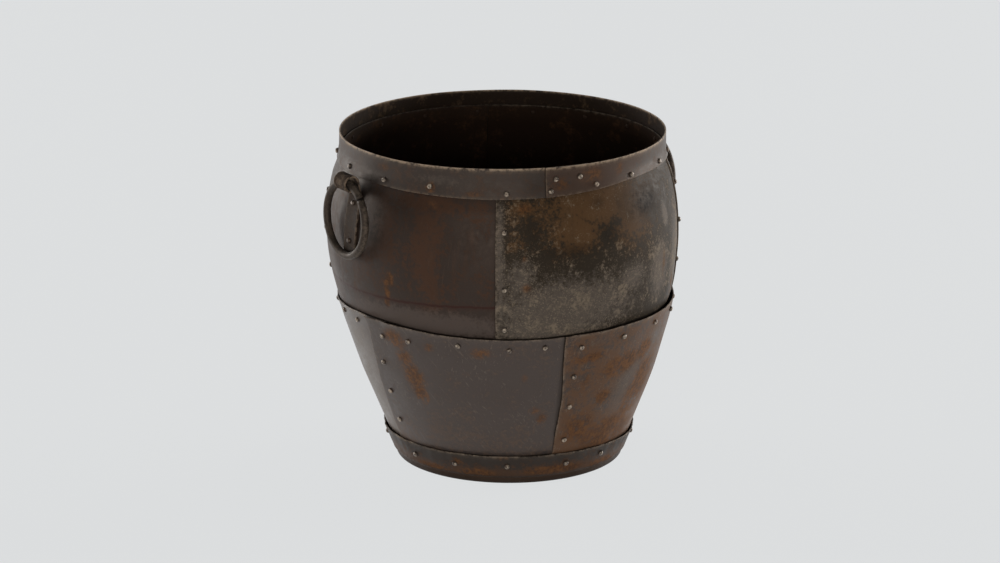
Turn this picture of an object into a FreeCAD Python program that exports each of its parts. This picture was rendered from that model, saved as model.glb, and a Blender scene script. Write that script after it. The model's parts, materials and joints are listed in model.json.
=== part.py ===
import FreeCAD, Part
import Sketcher
import math
import os

# Riveted sheet-iron planter: two courses of four lapped sheets, a rim band, a beaten base pan
# and two ring handles. Millimetres and degrees, Z up, origin under the middle of the pot.

Vector = FreeCAD.Vector
doc = FreeCAD.newDocument("iron_planter")
sizes = doc.addObject("Spreadsheet::Sheet", "sizes")

# Driving sizes
DRIVERS = (
    ("sheet_thickness", 1.6, "iron sheet of the courses, the band and the pan"),
    ("lap_gap", 0.1, "clear space between two lapped sheets"),
    ("upper_seam_lap", 30, "width of the lap at each upright seam of the upper course"),
    ("lower_seam_lap", 36, "width of the lap at each upright seam of the lower course, at the waist"),
    ("rim_top", 428, "height of the pot"),
    ("rim_height", 36, "height of the rim band"),
    ("rim_radius", 207.8, "mean outer radius of the rim band"),
    ("rim_straight", 20, "upright part of the band, above its flare"),
    ("rim_flare", 2.7, "how far the band's lower edge stands out"),
    ("rim_lap", 57, "length of the band's lapped ends"),
    ("collar_drop", 19.5, "upper course's top edge, below the rim"),
    ("belly_radius", 224.6, "widest outer radius of the upper course"),
    ("belly_height", 295, "height of the widest place"),
    ("belly_arc", 301, "upright curve of the belly"),
    ("neck_height", 19, "neck between the belly and the rim band"),
    ("waist_height", 214, "top edge of the lower course"),
    ("tuck_depth", 29, "how far the upper course reaches below the waist"),
    ("knee_rise", 10, "knee where the lower course is beaten inwards, above the pan's edge"),
    ("knee_radius", 162.6, "outer radius of the lower course at its knee"),
    ("bottom_rise", 9, "lower edge of the lower course, above the foot"),
    ("bottom_radius", 150.2, "outer radius of the lower course at its lower edge"),
    ("flank_swell", 1, "how far the lower course swells between its lap and its knee"),
    ("waist_slack", 2.5, "loose fit of the lower course on the upper one, taken up on one side"),
    ("base_drift", 9.5, "hand-made lean, sideways shift of the base from the rim"),
    ("flange_height", 42, "top edge of the base pan"),
    ("foot_height", 9, "upright foot of the base pan"),
    ("foot_radius", 146.5, "outer radius of the foot"),
    ("foot_round", 2.5, "rounded lower edge of the foot"),
    ("crease_rise", 0.8, "height of the crease above the foot"),
    ("strap_width", 27, "width of a handle strap"),
    ("strap_thickness", 2.5, "bar of a handle strap"),
    ("strap_length", 95, "lower end of a handle strap, below its eye's centre"),
    ("strap_neck", 15, "where the strap leaves the belly, below its eye's centre"),
    ("strap_gap", 0.1, "clear space behind a strap"),
    ("eye_bore", 17, "bore of the rolled eye"),
    ("eye_drop", 3, "eye's centre, below the rim band"),
    ("eye_stand", 5.4, "eye's centre, out beyond the belly and the rim"),
    ("eye_wrap", 315, "how far the strap is rolled round, in degrees"),
    ("ring_radius", 46.5, "ring handle, to the middle of its bar"),
    ("ring_bar", 10, "round bar of the ring"),
    ("ring_split", 1.2, "open butt joint of the ring"),
    ("ring_play", 0.45, "clearance of the ring in its eye and on its strap"),
    ("rivet_head", 7, "width of a rivet head"),
    ("rivet_crown", 4.2, "flat hammered top of a rivet head"),
    ("rivet_rise", 3.2, "height of a rivet head"),
    ("rivet_shank", 3.4, "square shank of a rivet"),
    ("rivet_fit", 0.15, "clearance round a shank and under its head"),
    ("rivet_tail", 7, "clenched tail, across its corners"),
    ("rivet_point", 4.4, "end of a clenched tail, across its corners"),
    ("tail_rise", 1.4, "height of a clenched tail"),
    ("rim_row_rise", 8, "rim's rivets, above the band's lower edge"),
    ("rim_lap_drop", 15, "two rivets in the band's lap, below the rim"),
    ("waist_row_drop", 15, "waist's rivets, below the lower course's edge"),
    ("base_row_drop", 16, "base's rivets, below the pan's edge"),
    ("strap_rivet_drop", 28, "upper rivet of a strap, below its eye's centre"),
    ("strap_rivet_pitch", 48, "from a strap's upper rivet to its lower one"),
    ("upper_inset", 10, "upper seam's rivets, from the sheet's edge"),
    ("lower_inset", 20, "lower seam's rivets, from the sheet's edge"),
)

# Bearings, in degrees round the pot from its front, positive to the right
FRONT = -122.5
UPPER_SEAMS = (-92, -2, 88, 178)
UPPER_NAMES = ("front_left", "front_right", "back_right", "back_left")
LOWER_SEAMS_TOP = (-52, 20.3, 115, 209)
LOWER_SEAMS_FOOT = (-61, 20, 113, 206)
LOWER_NAMES = ("front", "right", "back", "left")
DRIFT_BEARING = 90
RIM_LAP_BEARING = 14.8
HANDLES = (("left", -57.5), ("right", 122.5))

# Hand-set rivets, each a bearing and its share of the row's usual distance from the sheet's edge:
# the ones read off the side that shows, then the number evenly spaced on the far side
RIM_ROW = (
    ((-88, 0.99), (-66, 0.95), (-44.3, 0.89), (-25.2, 1.13), (1.3, 0.54), (16.4, 0.75), (33.4, 1.06),
     (49.8, 1.25), (70.1, 1.33), (85.5, 1.45)),
    8,
)
WAIST_ROW = (
    ((-87.5, 0.6), (-72, 0.55), (-60.1, 0.62), (-45.4, 1.21), (-33.5, 1.1), (-14.8, 0.82), (2.2, 1.12),
     (14.2, 0.96), (27, 1.24), (44.1, 1.03), (61.3, 0.84), (77.5, 0.82), (92, 0.8)),
    11,
)
BASE_ROW = (
    ((-86, 1), (-47.4, 1.09), (-23.2, 1.1), (2.2, 0.99), (29.8, 1.02), (49.3, 0.91), (87, 1)),
    6,
)
RIM_LAP_ROW = (18.3, 27.1)
# Seam rivets: shares of the way down each seam, from the band to the waist or from the waist to the pan
UPPER_SEAM_ROWS = ((0.25, 0.53, 0.81), (0.233, 0.636, 0.936), (0.2, 0.48, 0.775), (0.24, 0.59, 0.93))
LOWER_SEAM_ROWS = ((0.333, 0.581, 0.828), (0.353, 0.606, 0.891), (0.36, 0.61, 0.86), (0.37, 0.6, 0.85))

UPPER_SPAN = 360 / len(UPPER_SEAMS)
HANDLE_PAST_SEAM = HANDLES[0][1] - UPPER_SEAMS[0]
HEAD_SIDES = 8
TAIL_SIDES = 4

# Sizes that follow from the driving ones
WORKED = (
    ("rim_low", "=rim_top - rim_height"),
    ("rim_bend", "=rim_top - rim_straight"),
    ("rim_lap_row", "=rim_top - rim_lap_drop"),
    ("shoulder_height", "=rim_low - neck_height"),
    ("knee_height", "=flange_height + knee_rise"),
    ("bottom_height", "=foot_height + bottom_rise"),
    ("collar_top", "=rim_top - collar_drop"),
    ("upper_bottom", "=waist_height - tuck_depth"),
    ("belly_centre", "=belly_radius - belly_arc"),
    ("shoulder_radius", "=belly_centre + sqrt(belly_arc^2 - (shoulder_height - belly_height)^2)"),
    ("flare_slant", "=sqrt(1 + (rim_flare / (rim_bend - rim_low))^2)"),
    ("rim_step", "=(sheet_thickness + lap_gap) * flare_slant / 2"),
    ("neck_lean", "=(shoulder_radius - rim_radius + 2 * sheet_thickness) / (rim_low - shoulder_height)"),
    ("upper_slant", "=sqrt(1 + neck_lean^2)"),
    ("upper_step", "=(sheet_thickness + lap_gap) * upper_slant"),
    ("collar_radius", "=rim_radius - rim_step - sheet_thickness * flare_slant - lap_gap - upper_step / 2"),
    ("tuck_radius", "=belly_centre + sqrt(belly_arc^2 - (upper_bottom - belly_height)^2)"),
    ("lower_lean", "=(knee_radius - bottom_radius) / (knee_height - bottom_height)"),
    ("lower_slant", "=sqrt(1 + lower_lean^2)"),
    ("lower_step", "=(sheet_thickness + lap_gap) * lower_slant"),
    ("upper_at_waist", "=belly_centre + sqrt(belly_arc^2 - (waist_height - belly_height)^2)"),
    ("waist_play", "=(upper_step + lower_step) / 2 + lap_gap + sheet_thickness * lower_slant"),
    ("waist_radius", "=upper_at_waist + waist_play + waist_slack"),
    ("drift_slope", "=(base_drift - waist_slack) / (waist_height - bottom_height)"),
    ("tuck_bulge", "=belly_arc - sqrt(belly_arc^2 - tuck_depth^2 / 4)"),
    ("lap_height", "=upper_bottom"),
    ("lap_radius", "=tuck_radius + waist_play + tuck_bulge + waist_slack + drift_slope * tuck_depth"),
    ("flank_height", "=(lap_height + knee_height) / 2"),
    ("flank_radius", "=(lap_radius + knee_radius) / 2 + flank_swell"),
    ("lower_lap", "=lower_seam_lap / waist_radius * 180 / pi"),
    ("drift_play", "=drift_slope * (flange_height - bottom_height)"),
    ("flange_play", "=lower_step / 2 + lap_gap + drift_play"),
    ("upper_lap", "=upper_seam_lap / belly_radius * 180 / pi"),
    ("handle_offset", f"={UPPER_SPAN / 2 - HANDLE_PAST_SEAM} + upper_lap / 2"),
    ("handle_share", f"=sin(handle_offset * 1deg) / (2 * sin({UPPER_SPAN / 2}deg))"),
    ("strap_back", "=belly_arc + strap_gap + upper_step * handle_share"),
    ("strap_front", "=strap_back + strap_thickness"),
    ("eye_inner", "=eye_bore / 2"),
    ("eye_outer", "=eye_inner + strap_thickness"),
    ("eye_height", "=rim_low - eye_drop"),
    ("strap_bottom", "=eye_height - strap_length"),
    ("strap_foot", "=sqrt(strap_back^2 - (strap_bottom - belly_height)^2)"),
    ("bend_height", "=eye_height - strap_neck"),
    ("bend_radius", "=belly_centre + sqrt(strap_back^2 - (bend_height - belly_height)^2)"),
    ("eye_clear", "=max(belly_radius; rim_radius + rim_flare + eye_outer) + eye_stand"),
    ("eye_radius", "=max(eye_clear; bend_radius + eye_outer)"),
    ("eye_far", "=sqrt((eye_radius - bend_radius)^2 + strap_neck^2)"),
    ("neck_run", "=sqrt(eye_far^2 - eye_outer^2)"),
    ("neck_cos", "=((eye_radius - bend_radius) * neck_run - strap_neck * eye_outer) / eye_far^2"),
    ("neck_sin", "=((eye_radius - bend_radius) * eye_outer + strap_neck * neck_run) / eye_far^2"),
    ("front_out", "=eye_radius - eye_inner * neck_sin - belly_centre"),
    ("front_up", "=eye_height + eye_inner * neck_cos - belly_height"),
    ("front_along", "=front_out * neck_cos + front_up * neck_sin"),
    ("front_run", "=front_along - sqrt(front_along^2 - front_out^2 - front_up^2 + strap_front^2)"),
)

for line, (name, value, note) in enumerate(DRIVERS, start=1):
    sizes.set(f"A{line}", name)
    sizes.set(f"B{line}", str(value))
    sizes.set(f"C{line}", note)
    sizes.setAlias(f"B{line}", name)
for line, (name, formula) in enumerate(WORKED, start=1):
    sizes.set(f"E{line}", name)
    sizes.setAlias(f"F{line}", name)
    sizes.set(f"F{line}", formula)
doc.recompute()


def size(name):
    """The value of a cell of the sheet of sizes."""
    return float(sizes.get(name))


def radial(bearing):
    """Level unit vector that points out of the pot at a bearing."""
    angle = math.radians(FRONT + bearing)
    return Vector(math.cos(angle), math.sin(angle), 0)


def whole_row(shown, hidden):
    """Rivets of a whole row: the ones that show, then the hidden ones at an even pitch and distance."""
    first, last = shown[0][0], shown[-1][0]
    pitch = (first + 360 - last) / (hidden + 1)
    return list(shown) + [(last + pitch * (i + 1), 1) for i in range(hidden)]


# Sketches whose corners and arcs are tied to the sheet of sizes
def new_sketch(body, name, role, height=None):
    sketch = body.newObject("Sketcher::SketchObject", name)
    support = next(f for f in body.Origin.OriginFeatures if f.Role == role)
    sketch.AttachmentSupport = [(support, "")]
    sketch.MapMode = "FlatFace"
    if height:
        sketch.setExpression("AttachmentOffset.Base.z", height)
    return sketch


def tie(sketch, kind, where, formula):
    """Adds one dimension to a sketch and binds it to a formula of the sheet."""
    value = float(sizes.evalExpression(formula))
    index = sketch.addConstraint(Sketcher.Constraint(kind, *where, value))
    sketch.setExpression(f"Constraints[{index}]", formula)


def outline(sketch, corners):
    """Closed outline. A corner is (x, y) or, where an arc leaves it, (x, y, radius, centre, turn)."""
    points = [Vector(*(float(sizes.evalExpression(c)) for c in corner[:2]), 0) for corner in corners]
    for i, corner in enumerate(corners):
        start, end = points[i], points[(i + 1) % len(points)]
        if len(corner) == 2:
            sketch.addGeometry(Part.LineSegment(start, end))
            continue
        centre = Vector(*(float(sizes.evalExpression(c)) for c in corner[3]), 0)
        first, last = (start, end) if corner[4] > 0 else (end, start)
        angles = [math.atan2(p.y - centre.y, p.x - centre.x) for p in (first, last)]
        circle = Part.Circle(centre, Vector(0, 0, 1), (start - centre).Length)
        sketch.addGeometry(Part.ArcOfCircle(circle, *angles))
    ends = [(1, 2) if len(c) == 2 or c[4] > 0 else (2, 1) for c in corners]
    for i, corner in enumerate(corners):
        j = (i + 1) % len(corners)
        sketch.addConstraint(Sketcher.Constraint("Coincident", i, ends[i][1], j, ends[j][0]))
    for i, corner in enumerate(corners):
        tie(sketch, "DistanceX", (-1, 1, i, ends[i][0]), corner[0])
        tie(sketch, "DistanceY", (-1, 1, i, ends[i][0]), corner[1])
        if len(corner) > 2:
            tie(sketch, "Radius", (i,), corner[2])


def turned(body, name, corners, angle, axis=None):
    """Revolves an outline, drawn on the upright plane, about the body's Z or about an upright line."""
    sketch = new_sketch(body, name + "_section", "XZ_Plane")
    outline(sketch, corners)
    feature = body.newObject("PartDesign::Revolution", name)
    feature.Profile = sketch
    feature.ReferenceAxis = (sketch, ["V_Axis"])
    if axis:
        across = float(sizes.evalExpression(axis))
        top = size("rim_top")
        line = sketch.addGeometry(Part.LineSegment(Vector(across, 0, 0), Vector(across, top, 0)), True)
        sketch.addConstraint(Sketcher.Constraint("Vertical", line))
        sketch.addConstraint(Sketcher.Constraint("PointOnObject", line, 1, -1))
        tie(sketch, "DistanceX", (-1, 1, line, 1), axis)
        tie(sketch, "DistanceY", (-1, 1, line, 2), "sizes.rim_top")
        feature.ReferenceAxis = (sketch, ["Axis0"])
    feature.setExpression("Angle", angle)
    return feature


def new_body(name):
    body = doc.addObject("PartDesign::Body", name)
    body.Label = name
    return body


# Rim band: one strip in two half turns about two centres, so that its last end slips under its first
def rim_section(radius):
    """Bent section of the band; radius is the formula of its upright outer face."""
    sign = "-" if radius.startswith("-") else ""
    out = f"{radius} + {sign}1 * sizes.rim_flare"
    thick = f"{sign}1 * sizes.sheet_thickness"
    return [
        (radius, "sizes.rim_top"),
        (radius, "sizes.rim_bend"),
        (out, "sizes.rim_low"),
        (f"{out} - {thick} * sizes.flare_slant", "sizes.rim_low"),
        (f"{radius} - {thick}", "sizes.rim_bend"),
        (f"{radius} - {thick}", "sizes.rim_top"),
    ]


def rim_band():
    body = new_body("rim_band_blank")
    turned(body, "first_half", rim_section("sizes.rim_radius + sizes.rim_step"), "180", "sizes.rim_step / 2")
    lap = "sizes.rim_lap / sizes.rim_radius * 180 / pi"
    turned(body, "second_half", rim_section("-sizes.rim_radius"), f"180 + {lap}", "-sizes.rim_step / 2")
    body.Placement.Rotation = FreeCAD.Rotation(Vector(0, 0, 1), FRONT + RIM_LAP_BEARING)
    return body


# Upper course: one bellied section turned a quarter and a lap, each sheet about its own axis
BELLY = ("sizes.belly_centre", "sizes.belly_height")
INNER = "(1 - sizes.sheet_thickness / sizes.belly_arc)"
UPPER_SECTION = [
    ("sizes.tuck_radius", "sizes.upper_bottom", "sizes.belly_arc", BELLY, 1),
    ("sizes.shoulder_radius", "sizes.shoulder_height"),
    ("sizes.collar_radius + sizes.rim_flare", "sizes.rim_low"),
    ("sizes.collar_radius", "sizes.rim_bend"),
    ("sizes.collar_radius", "sizes.collar_top"),
    ("sizes.collar_radius - sizes.sheet_thickness", "sizes.collar_top"),
    ("sizes.collar_radius - sizes.sheet_thickness", "sizes.rim_bend"),
    ("sizes.collar_radius + sizes.rim_flare - sizes.sheet_thickness * sizes.upper_slant", "sizes.rim_low"),
    (f"sizes.belly_centre + (sizes.shoulder_radius - sizes.belly_centre) * {INNER}",
     f"sizes.belly_height + (sizes.shoulder_height - sizes.belly_height) * {INNER}",
     "sizes.belly_arc - sizes.sheet_thickness", BELLY, -1),
    (f"sizes.belly_centre + (sizes.tuck_radius - sizes.belly_centre) * {INNER}",
     f"sizes.belly_height + (sizes.upper_bottom - sizes.belly_height) * {INNER}"),
]


def following(seams, i):
    """Bearing of the next seam to the right."""
    return seams[i + 1] if i + 1 < len(seams) else seams[0] + 360


def axis_shift(left, right):
    """Sideways shift of a sheet's axis per lap step: out at its left seam, in at its right one."""
    along = radial((left + right) / 2 - 90)
    return along / (2 * math.sin(math.radians((right - left) / 2)))


def upper_span(i):
    """Bearings of an upper sheet's left edge, its right seam and its tucked right edge."""
    left, right = UPPER_SEAMS[i], following(UPPER_SEAMS, i)
    return left, right, right + size("upper_lap")


def upper_shift(i):
    left, right, edge = upper_span(i)
    half_lap = (edge - right) / 2
    return axis_shift(left + half_lap, right + half_lap)


def upper_panel(i):
    body = new_body(f"upper_panel_{UPPER_NAMES[i]}_blank")
    left, right, edge = upper_span(i)
    turned(body, f"upper_turn_{i}", UPPER_SECTION, f"{right - left} + sizes.upper_lap")
    body.Placement.Rotation = FreeCAD.Rotation(Vector(0, 0, 1), FRONT + left)
    shift = upper_shift(i)
    body.setExpression("Placement.Base.x", f"sizes.upper_step * {shift.x}")
    body.setExpression("Placement.Base.y", f"sizes.upper_step * {shift.y}")
    return body


# Lower course: tapered sheets lofted through level sections, which drift to one side as they go down
LOWER_LEVELS = ("waist", "lap", "flank", "knee", "bottom")


def lower_span(i, height):
    """Bearings of a lower sheet's left edge, right seam and tucked right edge at a height."""
    down = (size("waist_height") - height) / (size("waist_height") - size("bottom_height"))
    left, right = (
        seams_top + (seams_foot - seams_top) * down
        for seams_top, seams_foot in (
            (LOWER_SEAMS_TOP[i], LOWER_SEAMS_FOOT[i]),
            (following(LOWER_SEAMS_TOP, i), following(LOWER_SEAMS_FOOT, i)),
        )
    )
    return left, right, right + size("lower_lap")


def lower_shift(i, height):
    left, right, edge = lower_span(i, height)
    half_lap = (edge - right) / 2
    return axis_shift(left + half_lap, right + half_lap)


def lower_band(height):
    """Upper and lower level of the lower course that a height lies between, as (height, radius) pairs."""
    levels = [(size(f"{level}_height"), size(f"{level}_radius")) for level in LOWER_LEVELS]
    return next(pair for pair in zip(levels, levels[1:]) if height >= pair[1][0])


def lower_lean(height):
    """Lean of the lower course's outer face at a height."""
    (high, wide), (low, narrow) = lower_band(height)
    return -math.atan((wide - narrow) / (high - low))


def lower_radius(height):
    """Outer radius of the lower course about its own axis."""
    high, wide = lower_band(height)[0]
    return wide + (high - height) * math.tan(lower_lean(height))


def drift(height):
    """Sideways shift of the lower course's middle at a height."""
    below = size("waist_height") - height
    return radial(DRIFT_BEARING) * (size("waist_slack") + size("drift_slope") * below)


def lower_section(body, i, level):
    name = f"sizes.{level}_height"
    sketch = new_sketch(body, f"lower_{i}_{level}", "XY_Plane", name)
    height = size(f"{level}_height")
    left, right, edge = lower_span(i, height)
    shift, side = lower_shift(i, height), radial(DRIFT_BEARING)
    drifted = f"(sizes.waist_slack + sizes.drift_slope * (sizes.waist_height - {name}))"
    middle = [
        f"sizes.lower_step * {s} + {drifted} * {d}"
        for s, d in ((shift.x, side.x), (shift.y, side.y))
    ]
    outer = f"sizes.{level}_radius"
    inner = f"({outer} - sizes.sheet_thickness * sizes.lower_slant)"

    def at(radius, bearing):
        out = radial(bearing)
        return f"{middle[0]} + {radius} * {out.x}", f"{middle[1]} + {radius} * {out.y}"

    outline(sketch, [
        (*at(outer, left), outer, middle, 1),
        at(outer, edge),
        (*at(inner, edge), inner, middle, -1),
        at(inner, left),
    ])
    return sketch


def lower_panel(i):
    body = new_body(f"lower_panel_{LOWER_NAMES[i]}_blank")
    sections = [lower_section(body, i, level) for level in LOWER_LEVELS]
    loft = body.newObject("PartDesign::AdditiveLoft", f"lower_loft_{i}")
    loft.Profile = sections[0]
    loft.Sections = sections[1:]
    loft.Ruled = True
    return body


# Base pan: disc, short foot, crease and flange, turned in one section
def flange_radius(height, thick=True):
    """Formula of the flange's outer or inner radius at the formula of a height."""
    inner = f"sizes.bottom_radius + ({height} - sizes.bottom_height) * sizes.lower_lean + sizes.flange_play"
    return f"{inner} + sizes.sheet_thickness * sizes.lower_slant" if thick else inner


def base_pan():
    body = new_body("base_pan_blank")
    crease = "sizes.foot_height + sizes.crease_rise"
    inside = f"{crease} + sizes.sheet_thickness"
    round_middle = ("sizes.foot_radius - sizes.foot_round", "sizes.foot_round")
    turned(body, "pan_turn", [
        ("0", "0"),
        ("sizes.foot_radius - sizes.foot_round", "0", "sizes.foot_round", round_middle, 1),
        ("sizes.foot_radius", "sizes.foot_round"),
        ("sizes.foot_radius", "sizes.foot_height"),
        (flange_radius(crease), crease),
        (flange_radius("sizes.flange_height"), "sizes.flange_height"),
        (flange_radius("sizes.flange_height", False), "sizes.flange_height"),
        (flange_radius(inside, False), inside),
        ("sizes.foot_radius - sizes.sheet_thickness", "sizes.foot_height + sizes.sheet_thickness"),
        ("sizes.foot_radius - sizes.sheet_thickness", "sizes.sheet_thickness"),
        ("0", "sizes.sheet_thickness"),
    ], "360")
    body.Placement.Base = pan_shift()
    return body


def pan_shift():
    return drift((size("flange_height") + size("bottom_height")) / 2)


# Handle straps: a bar that lies on the belly, stands off it above and is rolled round into an eye
EYE = ("sizes.eye_radius", "sizes.eye_height")
ROLLED = "sizes.eye_wrap * 1deg"
EYE_END = (
    f"(sizes.neck_cos * sin({ROLLED}) - sizes.neck_sin * cos({ROLLED}))",
    f"(sizes.neck_sin * sin({ROLLED}) + sizes.neck_cos * cos({ROLLED}))",
)


def on_eye(radius, direction):
    """Formulas of the point of the eye at a radius, in a direction from its centre."""
    return tuple(f"{centre} + {radius} * {part}" for centre, part in zip(EYE, direction))


EYE_START = ("-sizes.neck_sin", "sizes.neck_cos")
STRAP_SECTION = [
    ("sizes.belly_centre + sizes.strap_foot", "sizes.strap_bottom", "sizes.strap_back", BELLY, 1),
    ("sizes.bend_radius", "sizes.bend_height"),
    (*on_eye("sizes.eye_outer", EYE_START), "sizes.eye_outer", EYE, -1),
    on_eye("sizes.eye_outer", EYE_END),
    (*on_eye("sizes.eye_inner", EYE_END), "sizes.eye_inner", EYE, 1),
    on_eye("sizes.eye_inner", EYE_START),
    ("sizes.belly_centre + sizes.front_out - sizes.front_run * sizes.neck_cos",
     "sizes.belly_height + sizes.front_up - sizes.front_run * sizes.neck_sin",
     "sizes.strap_front", BELLY, -1),
    ("sizes.belly_centre + sizes.strap_foot * sizes.strap_front / sizes.strap_back",
     "sizes.belly_height + (sizes.strap_bottom - sizes.belly_height) * sizes.strap_front / sizes.strap_back"),
]


def handle_strap(side, bearing):
    body = new_body(f"handle_strap_{side}_blank")
    sketch = new_sketch(body, f"strap_section_{side}", "XZ_Plane")
    outline(sketch, STRAP_SECTION)
    pad = body.newObject("PartDesign::Pad", f"strap_pad_{side}")
    pad.Profile = sketch
    pad.Midplane = True
    pad.setExpression("Length", "sizes.strap_width")
    body.Placement.Rotation = FreeCAD.Rotation(Vector(0, 0, 1), FRONT + bearing)
    return body


# Ring handles: an open ring of round bar that hangs in its eye and leans on the strap's foot
RING_SPLIT_FROM_TOP = 40


def ring_hinge():
    """Hinge point in the handle's own plane: the bar's middle when it sits low in the eye."""
    inner = size("ring_radius") - size("ring_bar") / 2
    sag = inner - math.sqrt(inner ** 2 - (size("strap_width") / 2) ** 2)
    drop = size("eye_inner") - size("ring_bar") / 2 - sag - size("ring_play")
    return Vector(size("eye_radius"), 0, size("eye_height") - drop)


def ring_rest_lean():
    """Angle from upright at which the ring leans on the strap."""
    front = size("belly_centre") + size("strap_front")
    out = front + size("ring_bar") / 2 + size("ring_play") - size("eye_radius")
    return math.asin(out / (2 * size("ring_radius")))


def ring_handle(side, bearing):
    ring = doc.addObject("Part::Torus", f"ring_handle_{side}")
    ring.setExpression("Radius1", "sizes.ring_radius")
    ring.setExpression("Radius2", "sizes.ring_bar / 2")
    ring.setExpression("Angle3", "360 - sizes.ring_split / sizes.ring_radius * 180 / pi")
    lean, split = ring_rest_lean(), math.radians(RING_SPLIT_FROM_TOP)
    down = Vector(math.sin(lean), 0, -math.cos(lean))
    through = Vector(math.cos(lean), 0, math.sin(lean))
    start = Vector(0, math.sin(split), 0) - down * math.cos(split)
    seat = FreeCAD.Placement(ring_hinge() + down * size("ring_radius"),
                             FreeCAD.Rotation(start, through.cross(start), through, "ZXY"))
    turn = FreeCAD.Placement(Vector(), FreeCAD.Rotation(Vector(0, 0, 1), FRONT + bearing))
    ring.Placement = turn.multiply(seat)
    return ring


# Rivets: a hammered head, a square shank through punched holes and a clenched tail
def facet(points):
    return Part.Face(Part.makePolygon(points + points[:1]))


def frustum(sides, widths, heights):
    """Upright flat-sided solid between two level polygons."""
    turn = 2 * math.pi / sides
    rings = [
        [Vector(width / 2 * math.cos(turn * i), width / 2 * math.sin(turn * i), height) for i in range(sides)]
        for width, height in zip(widths, heights)
    ]
    low, high = rings
    faces = [facet(low), facet(high)]
    for i in range(sides):
        j = (i + 1) % sides
        faces.append(facet([low[i], low[j], high[j], high[i]]))
    return Part.Solid(Part.Shell(faces))


def square_bar(width, low, high):
    return Part.makeBox(width, width, high - low, Vector(-width / 2, -width / 2, low))


def rivet(grip):
    """Rivet along Z, with the sheets between zero and minus grip."""
    fit = size("rivet_fit")
    head, crown, rise = size("rivet_head"), size("rivet_crown"), size("rivet_rise")
    tail, point, tail_rise = size("rivet_tail"), size("rivet_point"), size("tail_rise")
    dome = frustum(HEAD_SIDES, (head, crown), (fit, fit + rise))
    clench = frustum(TAIL_SIDES, (point, tail), (-grip - fit - tail_rise, -grip - fit))
    shank = square_bar(size("rivet_shank"), -grip - fit, fit)
    return dome.fuse([shank, clench])


class Seat:
    """Place of one rivet: where its head sits, which way it points and how much it grips."""

    def __init__(self, bearing, height, faces, lean, middle=Vector()):
        inner, outer = faces
        foot = radial(bearing) * outer
        out = (foot - middle).normalize()
        normal = out * math.cos(lean) + Vector(0, 0, math.sin(lean))
        across = Vector(-out.y, out.x, 0)
        self.grip = (outer - inner) * math.cos(lean)
        turn = FreeCAD.Rotation(across, normal.cross(across), normal, "ZXY")
        self.placement = FreeCAD.Placement(foot + Vector(0, 0, height), turn)

    def rivet(self):
        return self.placed(rivet(self.grip))

    def hole(self):
        margin = size("rivet_head")
        width = size("rivet_shank") + 2 * size("rivet_fit")
        return self.placed(square_bar(width, -self.grip - margin, margin))

    def placed(self, shape):
        shape.Placement = self.placement
        return shape


def reach(radius, shift, bearing):
    """Distance from the pot's axis, at a bearing, to a circle whose middle is shifted."""
    out = radial(bearing)
    return shift.dot(out) + math.sqrt(radius ** 2 - shift.cross(out).Length ** 2)


def course_faces(radii, spans, shifts, bearing):
    """Inmost and outmost distance of the sheets of a course that lie at a bearing."""
    margin = math.degrees(size("rivet_tail") / 2 / radii[0])
    found = [
        [reach(radius, shift, bearing) for radius in radii]
        for (left, right, edge), shift in zip(spans, shifts)
        if (bearing - left + margin) % 360 <= edge - left + 2 * margin
    ]
    return min(inner for inner, outer in found), max(outer for inner, outer in found)


def upper_radii(height):
    """Inner and outer radius of the upper course about its own axis."""
    thick = size("sheet_thickness")
    rise = height - size("belly_height")
    if height <= size("shoulder_height"):
        return tuple(
            size("belly_centre") + math.sqrt(arc ** 2 - rise ** 2)
            for arc in (size("belly_arc") - thick, size("belly_arc"))
        )
    up = min(1, (height - size("rim_low")) / (size("rim_bend") - size("rim_low")))
    slant = size("upper_slant") + (1 - size("upper_slant")) * up
    outer = size("collar_radius") + size("rim_flare") * (1 - up)
    return outer - thick * slant, outer


def belly_lean(height):
    return math.asin((height - size("belly_height")) / size("belly_arc"))


def upper_faces(bearing, height):
    """Inmost and outmost radius of the upper course's sheets."""
    panels = range(len(UPPER_SEAMS))
    shifts = [upper_shift(i) * size("upper_step") for i in panels]
    return course_faces(upper_radii(height), [upper_span(i) for i in panels], shifts, bearing)


def lower_faces(bearing, height):
    """Inmost and outmost radius of the lower course's sheets."""
    panels = range(len(LOWER_SEAMS_TOP))
    shifts = [lower_shift(i, height) * size("lower_step") + drift(height) for i in panels]
    outer = lower_radius(height)
    radii = (outer - size("sheet_thickness") * size("lower_slant"), outer)
    return course_faces(radii, [lower_span(i, height) for i in panels], shifts, bearing)


def rim_face(bearing, height, layer):
    """Outer radius of the rim band; layer 0 is the first half turn, layer 1 the second."""
    step = size("rim_step") / 2
    swing = math.cos(math.radians(bearing - RIM_LAP_BEARING))
    flare = size("rim_flare") * max(0, size("rim_bend") - height) / (size("rim_bend") - size("rim_low"))
    return size("rim_radius") + flare + (step + step * swing) * (1 if layer == 0 else -1)


def rim_seats():
    lean = math.atan(size("rim_flare") / (size("rim_bend") - size("rim_low")))
    for bearing, share in whole_row(*RIM_ROW):
        height = size("rim_low") + size("rim_row_rise") * share
        layer = 0 if (bearing - RIM_LAP_BEARING) % 360 < 180 else 1
        faces = upper_faces(bearing, height)[0], rim_face(bearing, height, layer)
        yield Seat(bearing, height, faces, lean)


def rim_lap_seats():
    height = size("rim_lap_row")
    for bearing in RIM_LAP_ROW:
        inner = rim_face(bearing, height, 1) - size("sheet_thickness")
        yield Seat(bearing, height, (inner, rim_face(bearing, height, 0)), 0)


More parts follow.
